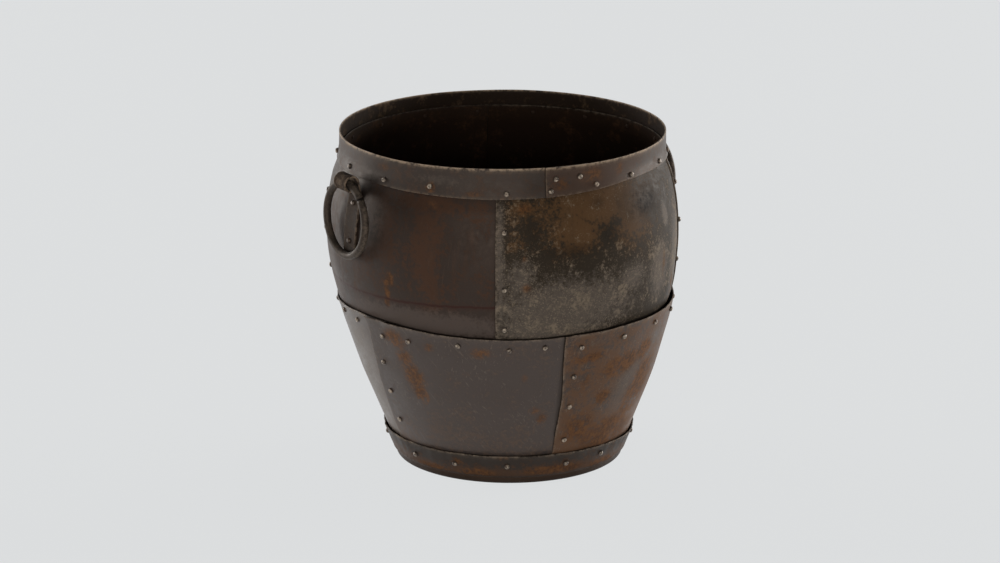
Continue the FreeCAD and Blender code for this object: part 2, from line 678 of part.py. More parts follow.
def upper_seam_seats():
    top, low = size("rim_low"), size("waist_height")
    for seam, shares in zip(UPPER_SEAMS, UPPER_SEAM_ROWS):
        for height in (top + (low - top) * share for share in shares):
            bearing = seam + math.degrees(size("upper_inset") / upper_radii(height)[1])
            yield Seat(bearing, height, upper_faces(bearing, height), belly_lean(height))


def waist_seats():
    for bearing, share in whole_row(*WAIST_ROW):
        height = size("waist_height") - size("waist_row_drop") * share
        faces = upper_faces(bearing, height)[0], lower_faces(bearing, height)[1]
        yield Seat(bearing, height, faces, lower_lean(height), drift(height))


def lower_seam_seats():
    top, low = size("waist_height"), size("flange_height")
    for i, shares in enumerate(LOWER_SEAM_ROWS):
        for height in (top + (low - top) * share for share in shares):
            bearing = lower_span(i, height)[0] + math.degrees(size("lower_inset") / lower_radius(height))
            yield Seat(bearing, height, lower_faces(bearing, height), lower_lean(height), drift(height))


def base_seats():
    for bearing, share in whole_row(*BASE_ROW):
        height = size("flange_height") - size("base_row_drop") * share
        flange = float(sizes.evalExpression(flange_radius(str(height))))
        faces = lower_faces(bearing, height)[0], reach(flange, pan_shift(), bearing)
        yield Seat(bearing, height, faces, lower_lean(height), pan_shift())


def strap_seats(bearing):
    high = size("eye_height") - size("strap_rivet_drop")
    for height in (high, high - size("strap_rivet_pitch")):
        rise = height - size("belly_height")
        outer = size("belly_centre") + math.sqrt(size("strap_front") ** 2 - rise ** 2)
        yield Seat(bearing, height, (upper_faces(bearing, height)[0], outer), belly_lean(height))


ROWS = {
    "rim_rivets": list(rim_seats()),
    "rim_lap_rivets": list(rim_lap_seats()),
    "upper_seam_rivets": list(upper_seam_seats()),
    "waist_rivets": list(waist_seats()),
    "lower_seam_rivets": list(lower_seam_seats()),
    "base_rivets": list(base_seats()),
}
for handle_side, handle_bearing in HANDLES:
    ROWS[f"strap_rivets_{handle_side}"] = list(strap_seats(handle_bearing))


def shape_object(name, shapes):
    """Object that holds a group of separate solids."""
    group = doc.addObject("Part::Feature", name)
    group.Shape = Part.makeCompound(shapes)
    return group


def punched(blank, rows):
    """The blank sheet with the holes of the rows of rivets that pass through it."""
    node = blank.Label.removesuffix("_blank")
    holes = [seat.hole() for row in rows for seat in ROWS[row]]
    doc.recompute()
    met = [h for h in holes if h.BoundBox.intersect(blank.Shape.BoundBox)]
    cut = doc.addObject("Part::Cut", node)
    cut.Base = blank
    cut.Tool = shape_object(node + "_holes", met)
    return cut


# The assembly
strap_rows = [row for row in ROWS if row.startswith("strap")]
nodes = [punched(rim_band(), ["rim_rivets", "rim_lap_rivets"])]
nodes += [
    punched(upper_panel(i), ["rim_rivets", "upper_seam_rivets", "waist_rivets", *strap_rows])
    for i in range(len(UPPER_NAMES))
]
nodes += [
    punched(lower_panel(i), ["waist_rivets", "lower_seam_rivets", "base_rivets"])
    for i in range(len(LOWER_NAMES))
]
nodes.append(punched(base_pan(), ["base_rivets"]))
for handle_side, handle_bearing in HANDLES:
    nodes.append(punched(handle_strap(handle_side, handle_bearing), [f"strap_rivets_{handle_side}"]))
    nodes.append(ring_handle(handle_side, handle_bearing))
nodes += [shape_object(row, [seat.rivet() for seat in seats]) for row, seats in ROWS.items()]
doc.recompute()

for thing in doc.Objects:
    if "Invalid" in thing.State or "Error" in thing.State:
        raise RuntimeError(f"{thing.Label} failed: {thing.State}")
for node in nodes:
    if node.Shape.isNull() or not node.Shape.isValid():
        raise RuntimeError(f"{node.Label} has no valid shape")

hinge = ring_hinge()
print(f"ring hinge {hinge.x:.3f} out, {hinge.z:.3f} up")
os.makedirs("parts", exist_ok=True)
for node in nodes:
    node.Shape.exportStep(f"parts/{node.Label}.step")
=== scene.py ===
import json
from math import asin, atan2, cos, degrees, hypot, pi, radians, sin, sqrt

import bpy
import numpy as np
from mathutils import Matrix, Vector


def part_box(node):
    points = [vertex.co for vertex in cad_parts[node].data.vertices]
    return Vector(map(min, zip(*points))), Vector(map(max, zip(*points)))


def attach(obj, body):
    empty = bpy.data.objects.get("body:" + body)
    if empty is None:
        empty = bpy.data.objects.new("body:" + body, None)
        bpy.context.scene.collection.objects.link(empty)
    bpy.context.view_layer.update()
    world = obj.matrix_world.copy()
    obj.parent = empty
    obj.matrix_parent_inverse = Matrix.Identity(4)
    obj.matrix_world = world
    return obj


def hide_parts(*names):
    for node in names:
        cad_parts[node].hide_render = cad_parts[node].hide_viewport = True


# Looks of the riveted iron planter. Sizes are in millimetres and degrees until a mesh is made.
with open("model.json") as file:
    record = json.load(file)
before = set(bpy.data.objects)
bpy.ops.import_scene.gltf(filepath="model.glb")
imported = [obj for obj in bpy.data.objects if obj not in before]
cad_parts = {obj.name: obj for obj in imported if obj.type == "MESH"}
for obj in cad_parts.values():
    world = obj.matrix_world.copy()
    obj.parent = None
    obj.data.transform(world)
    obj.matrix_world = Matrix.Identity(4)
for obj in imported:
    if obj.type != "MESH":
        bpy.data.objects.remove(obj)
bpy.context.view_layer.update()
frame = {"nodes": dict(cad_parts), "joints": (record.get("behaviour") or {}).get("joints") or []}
scene = bpy.context.scene
MM = 0.001

# Heights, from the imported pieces
RIM_LOW, RIM_TOP = (corner[2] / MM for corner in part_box("rim_band"))
UPPER_LOW, COLLAR_TOP = (corner[2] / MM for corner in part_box("upper_panel_front_left"))
LOWER_LOW, WAIST = (corner[2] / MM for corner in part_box("lower_panel_front"))
FLANGE_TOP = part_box("base_pan")[1][2] / MM
PAN_MIDDLE = (np.array(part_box("base_pan")[0]) + np.array(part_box("base_pan")[1]))[:2] / 2 / MM

# Sheets
SHEET = 1.6
GAP = 0.1
UPPER_LAP = 30
LOWER_LAP = 36
RIM_RADIUS = 207.8
RIM_BEND = RIM_TOP - 20
RIM_FLARE = 2.7
RIM_LAP = 57
BELLY_RADIUS = 224.6
BELLY_HEIGHT = 295
BELLY_ARC = 301
SHOULDER = RIM_LOW - 19
KNEE_HEIGHT = FLANGE_TOP + 10
KNEE_RADIUS = 162.6
FLANK_SWELL = 1
BOTTOM_RADIUS = 150.2
WAIST_SLACK = 2.5
BASE_DRIFT = 9.5
FOOT_RADIUS = 146.5
FOOT_HEIGHT = 9
FOOT_ROUND = 2.5
CREASE = FOOT_HEIGHT + 0.8

# Handles
STRAP_WIDTH = 27
STRAP_BAR = 2.5
EYE_RADIUS = 230
EYE_HEIGHT = RIM_LOW - 3
EYE_OUTER = 11
EYE_WRAP = 315
STRAP_LOW = EYE_HEIGHT - 95
STRAP_BEND = EYE_HEIGHT - 15
RING_RADIUS = 46.5
RING_BAR = 10
RING_SPLIT = 1.6
RING_SPLIT_FROM_TOP = 47

# Bearings round the pot, from the side that the camera sees, positive to the right
FRONT = -122.5
UPPER_SEAMS = (-92, -2, 88, 178)
UPPER_NAMES = ("front_left", "front_right", "back_right", "back_left")
LOWER_SEAMS_TOP = (-52, 20.3, 115, 209)
LOWER_SEAMS_FOOT = (-61, 20, 113, 206)
LOWER_NAMES = ("front", "right", "back", "left")
DRIFT_BEARING = 90
RIM_LAP_BEARING = 14.8
HANDLE_BEARINGS = {"left": -57.5, "right": 122.5}

# Camera and background, as in the photograph
CAMERA_AZIMUTH = -32.5
CAMERA_ELEVATION = 16.34
CAMERA_DISTANCE = 5.14
CAMERA_LENS = 143.89
TARGET_HEIGHT = 0.22394
TARGET_ASIDE = -0.0029
BACKDROP = (0.716, 0.730, 0.738, 1)

# Edges cut by eye: bearings and how far the edge lies above its level there
WAIST_CUT = (
    (-88, -3), (-76, 0.5), (-66, 3), (-55, 5), (-40, 4.5), (-31, 2.8), (-24, 1), (-12, -0.6), (0, -2),
    (14, -2), (24, -0.6), (36, -0.6), (48, 0.6), (60, 0), (75, -1), (90, -2), (180, 0.8), (240, 0), (272, -3),
)
FLANGE_CUT = ((-90, -1), (0, -1), (40, -1.5), (55, -3), (70, -5), (90, -6), (110, -4), (140, -1), (270, -1))
RIM_CUT = (
    (-90, 0.5), (-60, 0.3), (-45, 0), (-25, -1.2), (-5, -2.3), (12, -1.4), (24, 0.3), (36, 2.6), (46, 5.2),
    (62, 5.8), (85, 4.5), (110, 1), (150, -0.5), (200, 0.8), (240, -0.6), (270, 0.5),
)
# Unevenness of edges: how far, over what length, and the seed
UPPER_SIDE = ((0.5, 30, 20), (0.25, 9, 30))
LOWER_SIDE = ((0.6, 34, 70), (0.25, 10, 80))
WAIST_EDGE = ((0.5, 46, 90), (0.4, 13, 100))
FLANGE_EDGE = ((0.5, 40, 120), (0.4, 11, 121))
RIM_SIDE = ((0.3, 12, 110),)
RIM_EDGE = ((0.35, 70, 111),)
STRAP_SIDE = ((0.35, 20, 130),)
# The waist edge gapes most over the front left seam and is pressed in at the right
WAIST_GAPE = 0.7
SEAM_GAPE = 1.6
SEAM_GAPE_BEARING = -52
PRESSED = 1.7
PRESSED_BEARING = 88
GAPE_REACH = 16

# Beaten shape: the left flank is a little flat about the waist, the right one a little full below it
FLAT_DEPTH = 4.5
FLAT_HEIGHT = 208
FLAT_REACH = 60
SWELL = 3
SWELL_HEIGHT = 115
DENTS = ((0.55, 95, 3), (0.22, 38, 5))
HANDLE_CLEAR = (45, 90)
WRINKLE_RADIUS = 420
# The belly sags against the lower course to the right of the front
SAG = 2.8
SAG_BEARING = 74
SAG_REACH = 26

# Mesh density
PITCH = 3.5
EDGE_ROUND = 0.5
EDGE_LINES = (0, 0.1, 0.25, 0.5, 1.2)


# Noise and small sums on arrays
def lattice(points, pitch, seed):
    """Smooth seeded noise from -1 to 1 over points in millimetres."""
    scaled = np.asarray(points, float) / pitch
    cell = np.floor(scaled).astype(np.int64)
    part = scaled - cell
    part = part * part * (3 - 2 * part)
    total = np.zeros(scaled.shape[:-1])
    for corner in np.ndindex(2, 2, 2):
        at = cell + np.array(corner)
        code = at[..., 0] * 73856093 ^ at[..., 1] * 19349663 ^ at[..., 2] * 83492791 ^ (seed * 40503 + 977)
        code = (code ^ (code >> 13)) * 1274126177 & 0xFFFFFFFF
        value = ((code ^ (code >> 16)) & 0xFFFF) / 32767.5 - 1
        share = np.prod(np.where(np.array(corner) == 1, part, 1 - part), axis=-1)
        total += value * share
    return total


def along(values, pitch, seed):
    """Smooth seeded noise along one line."""
    values = np.asarray(values, float)
    zero = np.zeros_like(values)
    return lattice(np.stack([values, zero + 0.37 * pitch, zero], -1), pitch, seed)


def uneven(values, waves, turn=0):
    """Wander of an edge along its length."""
    return sum(far * along(values, pitch, seed + turn) for far, pitch, seed in waves)


def ramp(values, low, high):
    share = np.clip((values - low) / (high - low), 0, 1)
    return share * share * (3 - 2 * share)


def bump(values, middle, reach):
    return np.exp(-((values - middle) / reach) ** 2)


def fade(away, reach):
    return np.exp(-away / reach)


def cut_above(cuts, bearing):
    """Height of a hand-cut edge above its level, at bearings."""
    angles, rises = np.array(cuts, float).T
    return np.interp((np.asarray(bearing, float) - angles[0]) % 360 + angles[0], angles, rises)


def radial(bearing):
    angle = np.radians(FRONT + np.asarray(bearing, float))
    return np.stack([np.cos(angle), np.sin(angle), np.zeros_like(angle)], -1)


def upright(height):
    return np.asarray(height, float)[..., None] * np.array([0, 0, 1])


def round_pot(bearing, radius, height):
    return radial(bearing) * radius[..., None] + upright(height)


def pushed(spot, bearing, far):
    """Points moved outward."""
    return spot + radial(bearing) * far[..., None]


class Profile:
    """Upright section as radius and height against length along it, with its corners softened."""

    def __init__(self, corners, soft):
        corners = np.array(corners, float)
        length = np.concatenate([[0], np.cumsum(np.linalg.norm(np.diff(corners, axis=0), axis=1))])
        self.length = length[-1]
        self.marks = np.linspace(0, self.length, int(self.length) + 1)
        line = np.stack([np.interp(self.marks, length, corners[:, k]) for k in (0, 1)], -1)
        pad = int(soft)
        before = 2 * line[0] - line[pad:0:-1]
        after = 2 * line[-1] - line[-2:-pad - 2:-1]
        padded = np.concatenate([before, line, after])
        kernel = np.ones(pad + 1) / (pad + 1)
        for k in (0, 1):
            padded[:, k] = np.convolve(padded[:, k], kernel, "same")
        self.line = padded[pad:-pad]

    def at(self, length):
        """Radius and height; past an end the section runs straight on."""
        step = self.marks[1] - self.marks[0]
        inside = np.clip(length, 0, self.length)
        past = length - inside
        ends = np.where(past > 0, 1, 0)[..., None]
        slope = np.where(ends, self.line[-1] - self.line[-2], self.line[1] - self.line[0]) / step
        spot = np.stack([np.interp(inside, self.marks, self.line[:, k]) for k in (0, 1)], -1)
        spot = spot + slope * past[..., None]
        return spot[..., 0], spot[..., 1]

    def length_at(self, height):
        return np.interp(height, self.line[:, 1], self.marks)


# Rivets of a row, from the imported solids
class Rivet:
    def __init__(self, polygons):
        middle = sum((p.center for p in polygons), Vector()) / len(polygons)
        out = Vector((middle.x, middle.y, 0)).normalized()
        far = max(p.center.dot(out) for p in polygons)
        crown = [p for p in polygons if p.center.dot(out) > far - 0.6 * MM and p.normal.dot(out) > 0.8]
        self.axis = sum((p.normal * p.area for p in crown), Vector()).normalized()
        self.crown = sum((p.center * p.area for p in crown), Vector()) / sum(p.area for p in crown) / MM
        depths = [self.axis.dot(p.center) / MM for p in polygons]
        self.length = self.axis.dot(self.crown) - min(depths)
        angle = degrees(atan2(self.crown.y, self.crown.x)) - FRONT
        self.bearing = (angle + 180) % 360 - 180


def rivets_of(node):
    """The rivets of one packed row."""
    reach = 18 * MM
    groups = []
    for polygon in frame["nodes"][node].data.polygons:
        home = next((g for g in groups if (g[0].center - polygon.center).length < reach), None)
        if home is None:
            groups.append([polygon])
        else:
            home.append(polygon)
    return [Rivet(g) for g in groups]


RIVET_ROWS = [name for name in frame["nodes"] if "rivets" in name]
RIVETS = {name: rivets_of(name) for name in RIVET_ROWS}
WAIST_BEARINGS = sorted(r.bearing for r in RIVETS["waist_rivets"])
BASE_BEARINGS = sorted(r.bearing for r in RIVETS["base_rivets"])
WAIST_ROW = WAIST - 15
BASE_ROW = FLANGE_TOP - 16


# Handwork: dents that all sheets share, and edges that gape between their rivets
def dents(points):
    """Outward displacement by hammering. It fades out under the handles."""
    field = sum(deep * lattice(points, pitch, seed) for deep, pitch, seed in DENTS)
    keep = np.ones(field.shape)
    for bearing in HANDLE_BEARINGS.values():
        foot = radial(bearing) * BELLY_RADIUS
        away = np.linalg.norm((points - foot)[..., :2], axis=-1)
        keep = keep * ramp(away, *HANDLE_CLEAR)
    out = points[..., :2] / np.maximum(np.linalg.norm(points[..., :2], axis=-1, keepdims=True), 1)
    right = out @ radial(90)[:2]
    height = points[..., 2]
    flat = FLAT_DEPTH * np.maximum(0, -right) ** 1.5 * bump(height, FLAT_HEIGHT, FLAT_REACH)
    swell = SWELL * np.maximum(0, right) ** 1.5 * bump(height, SWELL_HEIGHT, FLAT_REACH)
    return field * keep - flat + swell


def gape(bearing, rivets, per_length, most, radius):
    """How far an edge stands off between its rivets."""
    bearing = (np.asarray(bearing, float) + 180) % 360 - 180
    ring = np.array([rivets[-1] - 360] + rivets + [rivets[0] + 360])
    after = np.clip(np.searchsorted(ring, bearing), 1, len(ring) - 1)
    left, right = ring[after - 1], ring[after]
    run = np.radians(right - left) * radius
    share = np.sin(np.pi * (bearing - left) / (right - left))
    return 0.35 + np.minimum(most, per_length * run) * share


# Meshes
def lines(length, extra=(), pitch=PITCH):
    """Grid lines from zero to a length, dense at both ends and at the extra places."""
    inner = np.linspace(0, length, max(2, round(length / pitch)) + 1)
    fixed = [*EDGE_LINES, *(length - e for e in EDGE_LINES), *extra]
    keep = [v for v in inner if all(abs(v - w) > 0.3 * pitch for w in fixed)]
    return np.array(sorted({round(float(v), 4) for v in keep + fixed}))


def new_piece(name, points, faces, marks):
    mesh = bpy.data.meshes.new(name)
    mesh.from_pydata((np.asarray(points) * MM).tolist(), [], faces)
    mesh.polygons.foreach_set("use_smooth", [True] * len(mesh.polygons))
    for mark, values in marks.items():
        layer = mesh.attributes.new(mark, "FLOAT", "POINT")
        layer.data.foreach_set("value", np.asarray(values, np.float32).ravel())
    piece = bpy.data.objects.new(name, mesh)
    scene.collection.objects.link(piece)
    return piece


def quads(rows, columns, start, closed, flip):
    """Faces of a grid of points that are numbered row by row."""
    faces = []
    for i in range(rows - 1):
        for j in range(columns if closed else columns - 1):
            one = start + i * columns + j
            two = start + i * columns + (j + 1) % columns
            face = (one, two, two + columns, one + columns)
            faces.append(face[::-1] if flip else face)
    return faces


def tube(rows, columns, start, flip):
    """Faces of a closed tube with both its ends."""
    last = start + (rows - 1) * columns
    ends = [tuple(range(start, start + columns))[::-1], tuple(range(last, last + columns))]
    return quads(rows, columns, start, True, flip) + [end[::-1] if flip else end for end in ends]


def from_edges(length, tall):
    """Distance of a point from the nearest edge of a strip."""
    return lambda u, v: np.minimum(np.minimum(u, length - u), np.minimum(v, tall - v))


def plate(name, node, material, place, us, vs, edge, paint, thick=SHEET, closed=False):
    """Sheet with rounded edges. place gives its outer face, and edge the distance to the nearest cut."""
    u, v = np.meshgrid(us, vs)
    face = place(u, v)
    small = 0.05
    normal = np.cross(place(u + small, v) - place(u - small, v), place(u, v + small) - place(u, v - small))
    normal /= np.maximum(np.linalg.norm(normal, axis=-1, keepdims=True), 1e-12)
    cut = edge(u, v)
    inward = np.clip(EDGE_ROUND - cut, 0, EDGE_ROUND)
    depth = (EDGE_ROUND - np.sqrt(EDGE_ROUND ** 2 - inward ** 2))[..., None]
    outer = face - normal * depth
    inner = face - normal * (thick - depth)
    rows, columns = u.shape
    count = rows * columns
    faces = quads(rows, columns, 0, closed, False) + quads(rows, columns, count, closed, True)
    steps = range(columns - 1)
    rim = [(0, j, 0, j + 1) for j in steps] + [(rows - 1, j + 1, rows - 1, j) for j in steps]
    if closed:
        rim += [(0, columns - 1, 0, 0), (rows - 1, 0, rows - 1, columns - 1)]
    else:
        rim += [(i + 1, 0, i, 0) for i in range(rows - 1)]
        rim += [(i, columns - 1, i + 1, columns - 1) for i in range(rows - 1)]
    for i, j, k, m in rim:
        one, two = i * columns + j, k * columns + m
        faces.append((two, one, one + count, two + count))
    marks = {}
    for mark, values in paint(u, v, face, cut).items():
        marks[mark] = np.tile(np.broadcast_to(values, u.shape).ravel(), 2)
    marks["inside"] = np.concatenate([np.zeros(count), ramp(cut, 0.05, 1.5).ravel()])
    piece = new_piece(name, np.concatenate([outer.reshape(-1, 3), inner.reshape(-1, 3)]), faces, marks)
    dress(piece, node, "pot", material)


def patchy(face, pitch, seed):
    """Share of wear that is left at each point."""
    return 0.7 + 0.5 * lattice(face, pitch, seed)


def lap_shade(covered, reach, under=1):
    """Painted shade in front of a covering edge and under it."""
    return np.where(covered > -0.5, fade(np.maximum(covered, 0), reach), under)


def dress(piece, node, body, material):
    piece.data.materials.append(material)
    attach(piece, body)
    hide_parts(node)


# Painted patches: bearing, height, half width, half height, strength and slant
def patch(bearing, height, radius, middle, level, wide, high, strength=1, slant=0):
    """Soft oval mark on a sheet of a radius."""
    lean = radians(slant)
    across = np.radians((bearing - middle + 180) % 360 - 180) * radius
    up = height - level
    a = across * cos(lean) + up * sin(lean)
    b = up * cos(lean) - across * sin(lean)
    return strength * np.exp(-((a / wide) ** 2 + (b / high) ** 2))


def painted(spots, bearing, height, radius):
    """Marks of each kind, the strongest patch at each point."""
    marks = {}
    for mark, found in spots.items():
        ovals = [patch(bearing, height, radius, *spot) for spot in found]
        marks[mark] = np.max(ovals, axis=0)
    return marks


UPPER_SPOTS = dict(
    front_left=dict(
        rust=[(-38.2, 279, 6, 8), (-40, 264, 4, 13, 1, 4), (-40.6, 248, 4.5, 8), (-24, 378, 10, 6, 0.45)],
        cloud=[(-26, 380, 70, 14, 0.8), (-25, 315, 20, 70, 0.9), (-43, 330, 34, 60, 0.8),
               (-8, 372, 26, 16, 0.6)],
        chalk=[(-30, 225, 160, 24), (-75, 250, 30, 50, 0.9)],
        # Of these stains, (-52.4, 335) is the painted shadow of the left strap, and (-38, 374), (-46, 345)
        # and (-51, 384) are painted shade at the top of the sheet and beside the handle.
        stain=[(-38, 374, 46, 24, 0.7), (-46, 345, 26, 50, 1.1), (-12, 330, 26, 24, 0.3),
               (-52.4, 335, 6, 46, 1.2), (-51, 384, 14, 10, 0.9)],
    ),
    front_right=dict(
        rust=[(8, 280, 7, 6, 0.6), (7.5, 378, 10, 6, 0.7), (77, 232, 5, 22, 0.8, 4), (7, 318, 5, 4, 0.5),
              (66, 275, 5, 24, 0.5, 4)],
        cloud=[(36, 374, 90, 24, 1.3), (25, 347, 34, 28, 1.3), (48, 352, 36, 34, 1.1),
               (7.5, 378, 20, 10, 0.8), (4, 335, 16, 16, 0.4), (10, 272, 12, 8, 0.5)],
        # (68, 338) is a painted highlight, and (80, 270) lightens the sheet towards its right edge as painted
        # light.
        chalk=[(-0.5, 300, 8, 130, 0.9), (22, 250, 130, 50), (6, 290, 30, 40, 0.8), (47, 275, 34, 26, 0.9),
               (63, 270, 34, 45), (16, 226, 80, 22, 1.2), (80, 270, 34, 70, 1.1),
               (68, 338, 9, 18, 1.3, 10)],
        # (56, 366) is painted shade over the top right of the sheet.
        stain=[(22, 324, 40, 8, 0.55), (37, 338, 16, 14, 0.6), (10, 352, 14, 22, 0.5),
               (34, 378, 10, 8, 0.5), (43, 368, 12, 14, 0.5), (56, 366, 46, 26, 1.2)],
    ),
    back_right=dict(
        rust=[(120, 250, 14, 22, 0.8, 20), (150, 340, 20, 12, 0.6, -10)],
        cloud=[(125, 330, 60, 34, 1, 20), (160, 270, 40, 30, 0.8, -20)],
        chalk=[(130, 250, 90, 40, 0.8), (100, 300, 30, 70, 0.6)],
        stain=[(140, 300, 36, 12, 0.4)],
    ),
    back_left=dict(
        rust=[(205, 300, 9, 34, 0.9, 8), (240, 250, 22, 10, 0.6)],
        cloud=[(215, 280, 70, 50, 0.6), (250, 360, 40, 20, 0.6)],
        chalk=[(225, 230, 120, 26, 0.5)],
        stain=[(230, 330, 30, 20, 0.3)],
    ),
)
LOWER_SPOTS = dict(
    front=dict(
        rust=[(-40, 196, 17, 12, 0.75), (-37.5, 172, 14, 14, 0.65), (-35.3, 148, 15, 18, 0.9, 20),
              (-34, 122, 11, 14, 0.95, 10), (-26, 194, 8, 6, 0.6), (-8, 193, 14, 8, 0.65),
              (13.9, 96, 7, 7, 0.8), (11, 108, 8, 7, 0.5), (7, 157, 5, 7, 0.4), (-14, 161, 5, 5, 0.45)],
        chalk=[(-44, 110, 14, 60, 0.5), (-10, 80, 60, 16, 0.3)],
    ),
    right=dict(
        rust=[(30, 178, 26, 7, 0.85, 4), (46, 158, 32, 15, 1, 10), (58, 168, 18, 14, 0.9),
              (40, 115, 12, 10, 0.95), (48, 60, 46, 22, 0.95), (31, 76, 22, 24, 0.75),
              (62, 112, 26, 46, 0.85, -18), (30, 150, 8, 26, 0.45), (86, 120, 34, 50, 0.8)],
        chalk=[(52, 130, 30, 60, 0.7, -20), (34, 200, 30, 8, 0.5), (66, 180, 24, 20, 0.7)],
    ),
    back=dict(
        rust=[(140, 150, 34, 22, 0.8, 20), (185, 100, 30, 30, 0.7, -20), (160, 70, 30, 12, 0.6)],
        chalk=[(160, 130, 60, 50, 0.5)],
    ),
    left=dict(
        rust=[(235, 140, 20, 34, 0.5, 10), (265, 90, 16, 20, 0.4)],
        chalk=[(270, 120, 70, 120), (295, 120, 60, 120)],
    ),
)
RIM_SPOTS = dict(
    rust=[(20, 407, 14, 9, 0.6), (32, 412, 18, 12, 0.55), (-25, 400, 7, 7, 0.7), (-10, 397, 14, 3, 0.5),
          (44, 414, 8, 10, 0.5), (-45, 416, 10, 6, 0.4), (150, 410, 20, 10, 0.6), (230, 406, 24, 10, 0.6)],
    chalk=[(-22, 410, 40, 10, 0.7), (-58, 410, 20, 14, 0.6), (180, 410, 60, 12, 0.5)],
    # (-50.5, 396) is the painted shadow of the left strap's eye on the band.
    stain=[(-50.5, 396, 16, 13, 1.1), (12, 408, 14, 14, 0.45), (21, 411, 16, 14, 0.45),
           (-3, 409, 10, 8, 0.3)],
)
PAN_SPOTS = dict(
    rust=[(22, 18, 36, 7, 0.9), (-16, 15, 22, 6, 0.9), (-40, 14, 24, 5, 0.8), (50, 14, 30, 6, 0.8),
          (150, 18, 60, 9, 0.8), (240, 15, 60, 7, 0.8), (-3, 40, 8, 5, 0.5), (-25, 30, 10, 7, 0.4)],
)


# Upper course
UPPER_TURN = degrees(UPPER_LAP / BELLY_RADIUS)
BELLY_CENTRE = BELLY_RADIUS - BELLY_ARC
SHOULDER_RADIUS = BELLY_CENTRE + sqrt(BELLY_ARC ** 2 - (SHOULDER - BELLY_HEIGHT) ** 2)
FLARE_SLANT = hypot(1, RIM_FLARE / (RIM_BEND - RIM_LOW))
RIM_STEP = (SHEET + GAP) * FLARE_SLANT / 2
UPPER_SLANT = hypot(1, (SHOULDER_RADIUS - RIM_RADIUS + 2 * SHEET) / (RIM_LOW - SHOULDER))
UPPER_STEP = (SHEET + GAP) * UPPER_SLANT
COLLAR_RADIUS = RIM_RADIUS - RIM_STEP - SHEET * FLARE_SLANT - GAP - UPPER_STEP / 2


def belly(height):
    return BELLY_CENTRE + np.sqrt(BELLY_ARC ** 2 - (np.asarray(height, float) - BELLY_HEIGHT) ** 2)


belly_heights = np.linspace(UPPER_LOW, SHOULDER, 60)
UPPER_PROFILE = Profile(
    list(zip(belly(belly_heights), belly_heights))
    + [(COLLAR_RADIUS + RIM_FLARE, RIM_LOW), (COLLAR_RADIUS, RIM_BEND), (COLLAR_RADIUS, COLLAR_TOP)], 6)


def following(seams, i):
    return seams[i + 1] if i + 1 < len(seams) else seams[0] + 360


def axis_shift(left, right):
    """Sideways shift of a sheet's axis per lap step: out at its left seam, in at its right one."""
    half = np.radians((right - left) / 2)
    return radial((left + right) / 2 - 90) / (2 * np.sin(half))[..., None]


def seam_line(length, right_turn, radius):
    """Extra grid lines beside a covering edge, as lengths along the covered sheet."""
    seam = length - radians(right_turn) * radius
    return [seam + d for d in (-3, -1.6, -0.8, -0.2, 0.6)]


def upper_panel(i, material):
    name = UPPER_NAMES[i]
    left, right = UPPER_SEAMS[i], following(UPPER_SEAMS, i)
    turn = right - left + UPPER_TURN
    length = radians(turn) * BELLY_RADIUS
    half_lap = UPPER_TURN / 2
    shift = axis_shift(np.array(left + half_lap), np.array(right + half_lap)) * UPPER_STEP
    tall = UPPER_PROFILE.length
    waist = UPPER_PROFILE.length_at(WAIST)
    most_lift = 0.9 if name == "front_right" else 0.1
    seam_shade = 0 if name == "front_right" else 0.6

    def place(u, v):
        ragged = uneven(v, UPPER_SIDE, i)
        bearing = left + np.degrees((u + ragged * (1 - u / length)) / BELLY_RADIUS)
        radius, height = UPPER_PROFILE.at(v)
        spot = shift + round_pot(bearing, radius, height)
        lift = most_lift * ramp(-u, -14, 0) * ramp(height, WAIST, WAIST + 20)
        lift = lift * ramp(-height, -RIM_LOW, 20 - RIM_LOW) * (0.5 + 0.5 * along(v, 40, 50 + i))
        sag = SAG * bump(bearing, SAG_BEARING, SAG_REACH)
        sag = sag * ramp(-height, -WAIST - 55, -WAIST - 5) * ramp(height, WAIST - 24, WAIST - 8)
        return pushed(spot, bearing, dents(spot) + lift + sag)

    def paint(u, v, face, cut):
        height = UPPER_PROFILE.at(v)[1]
        bearing = left + np.degrees(u / BELLY_RADIUS)
        covered = length - radians(UPPER_TURN) * BELLY_RADIUS - u
        worn = 2 if name == "back_right" else 1
        above_waist = height - WAIST - cut_above(WAIST_CUT, bearing)
        below_rim = RIM_LOW + cut_above(RIM_CUT, bearing) - height
        # Painted shade on the upper sheet under the lower course and just above its edge, under the rim band
        # and fading below it, and in front of the covering seam.
        waist_shade = 0.85 * ramp(-above_waist, -0.8, 0.3)
        rim_shade = 0.55 * fade(np.maximum(below_rim, 0), 3.5)
        return {
            "wear": fade(np.minimum(u, tall - v), 2.0) * patchy(face, 7, 60) * worn,
            "grime": np.maximum(np.maximum(lap_shade(covered, 1.2) * seam_shade, waist_shade), rim_shade),
            **painted(UPPER_SPOTS[name], bearing, height, BELLY_RADIUS),
        }

    us = lines(length, seam_line(length, UPPER_TURN, BELLY_RADIUS))
    vs = lines(tall, waist + np.arange(-4, 7.5, 0.9))
    plate(f"bellied_sheet_{name}", f"upper_panel_{name}", material,
          place, us, vs, from_edges(length, tall), paint)


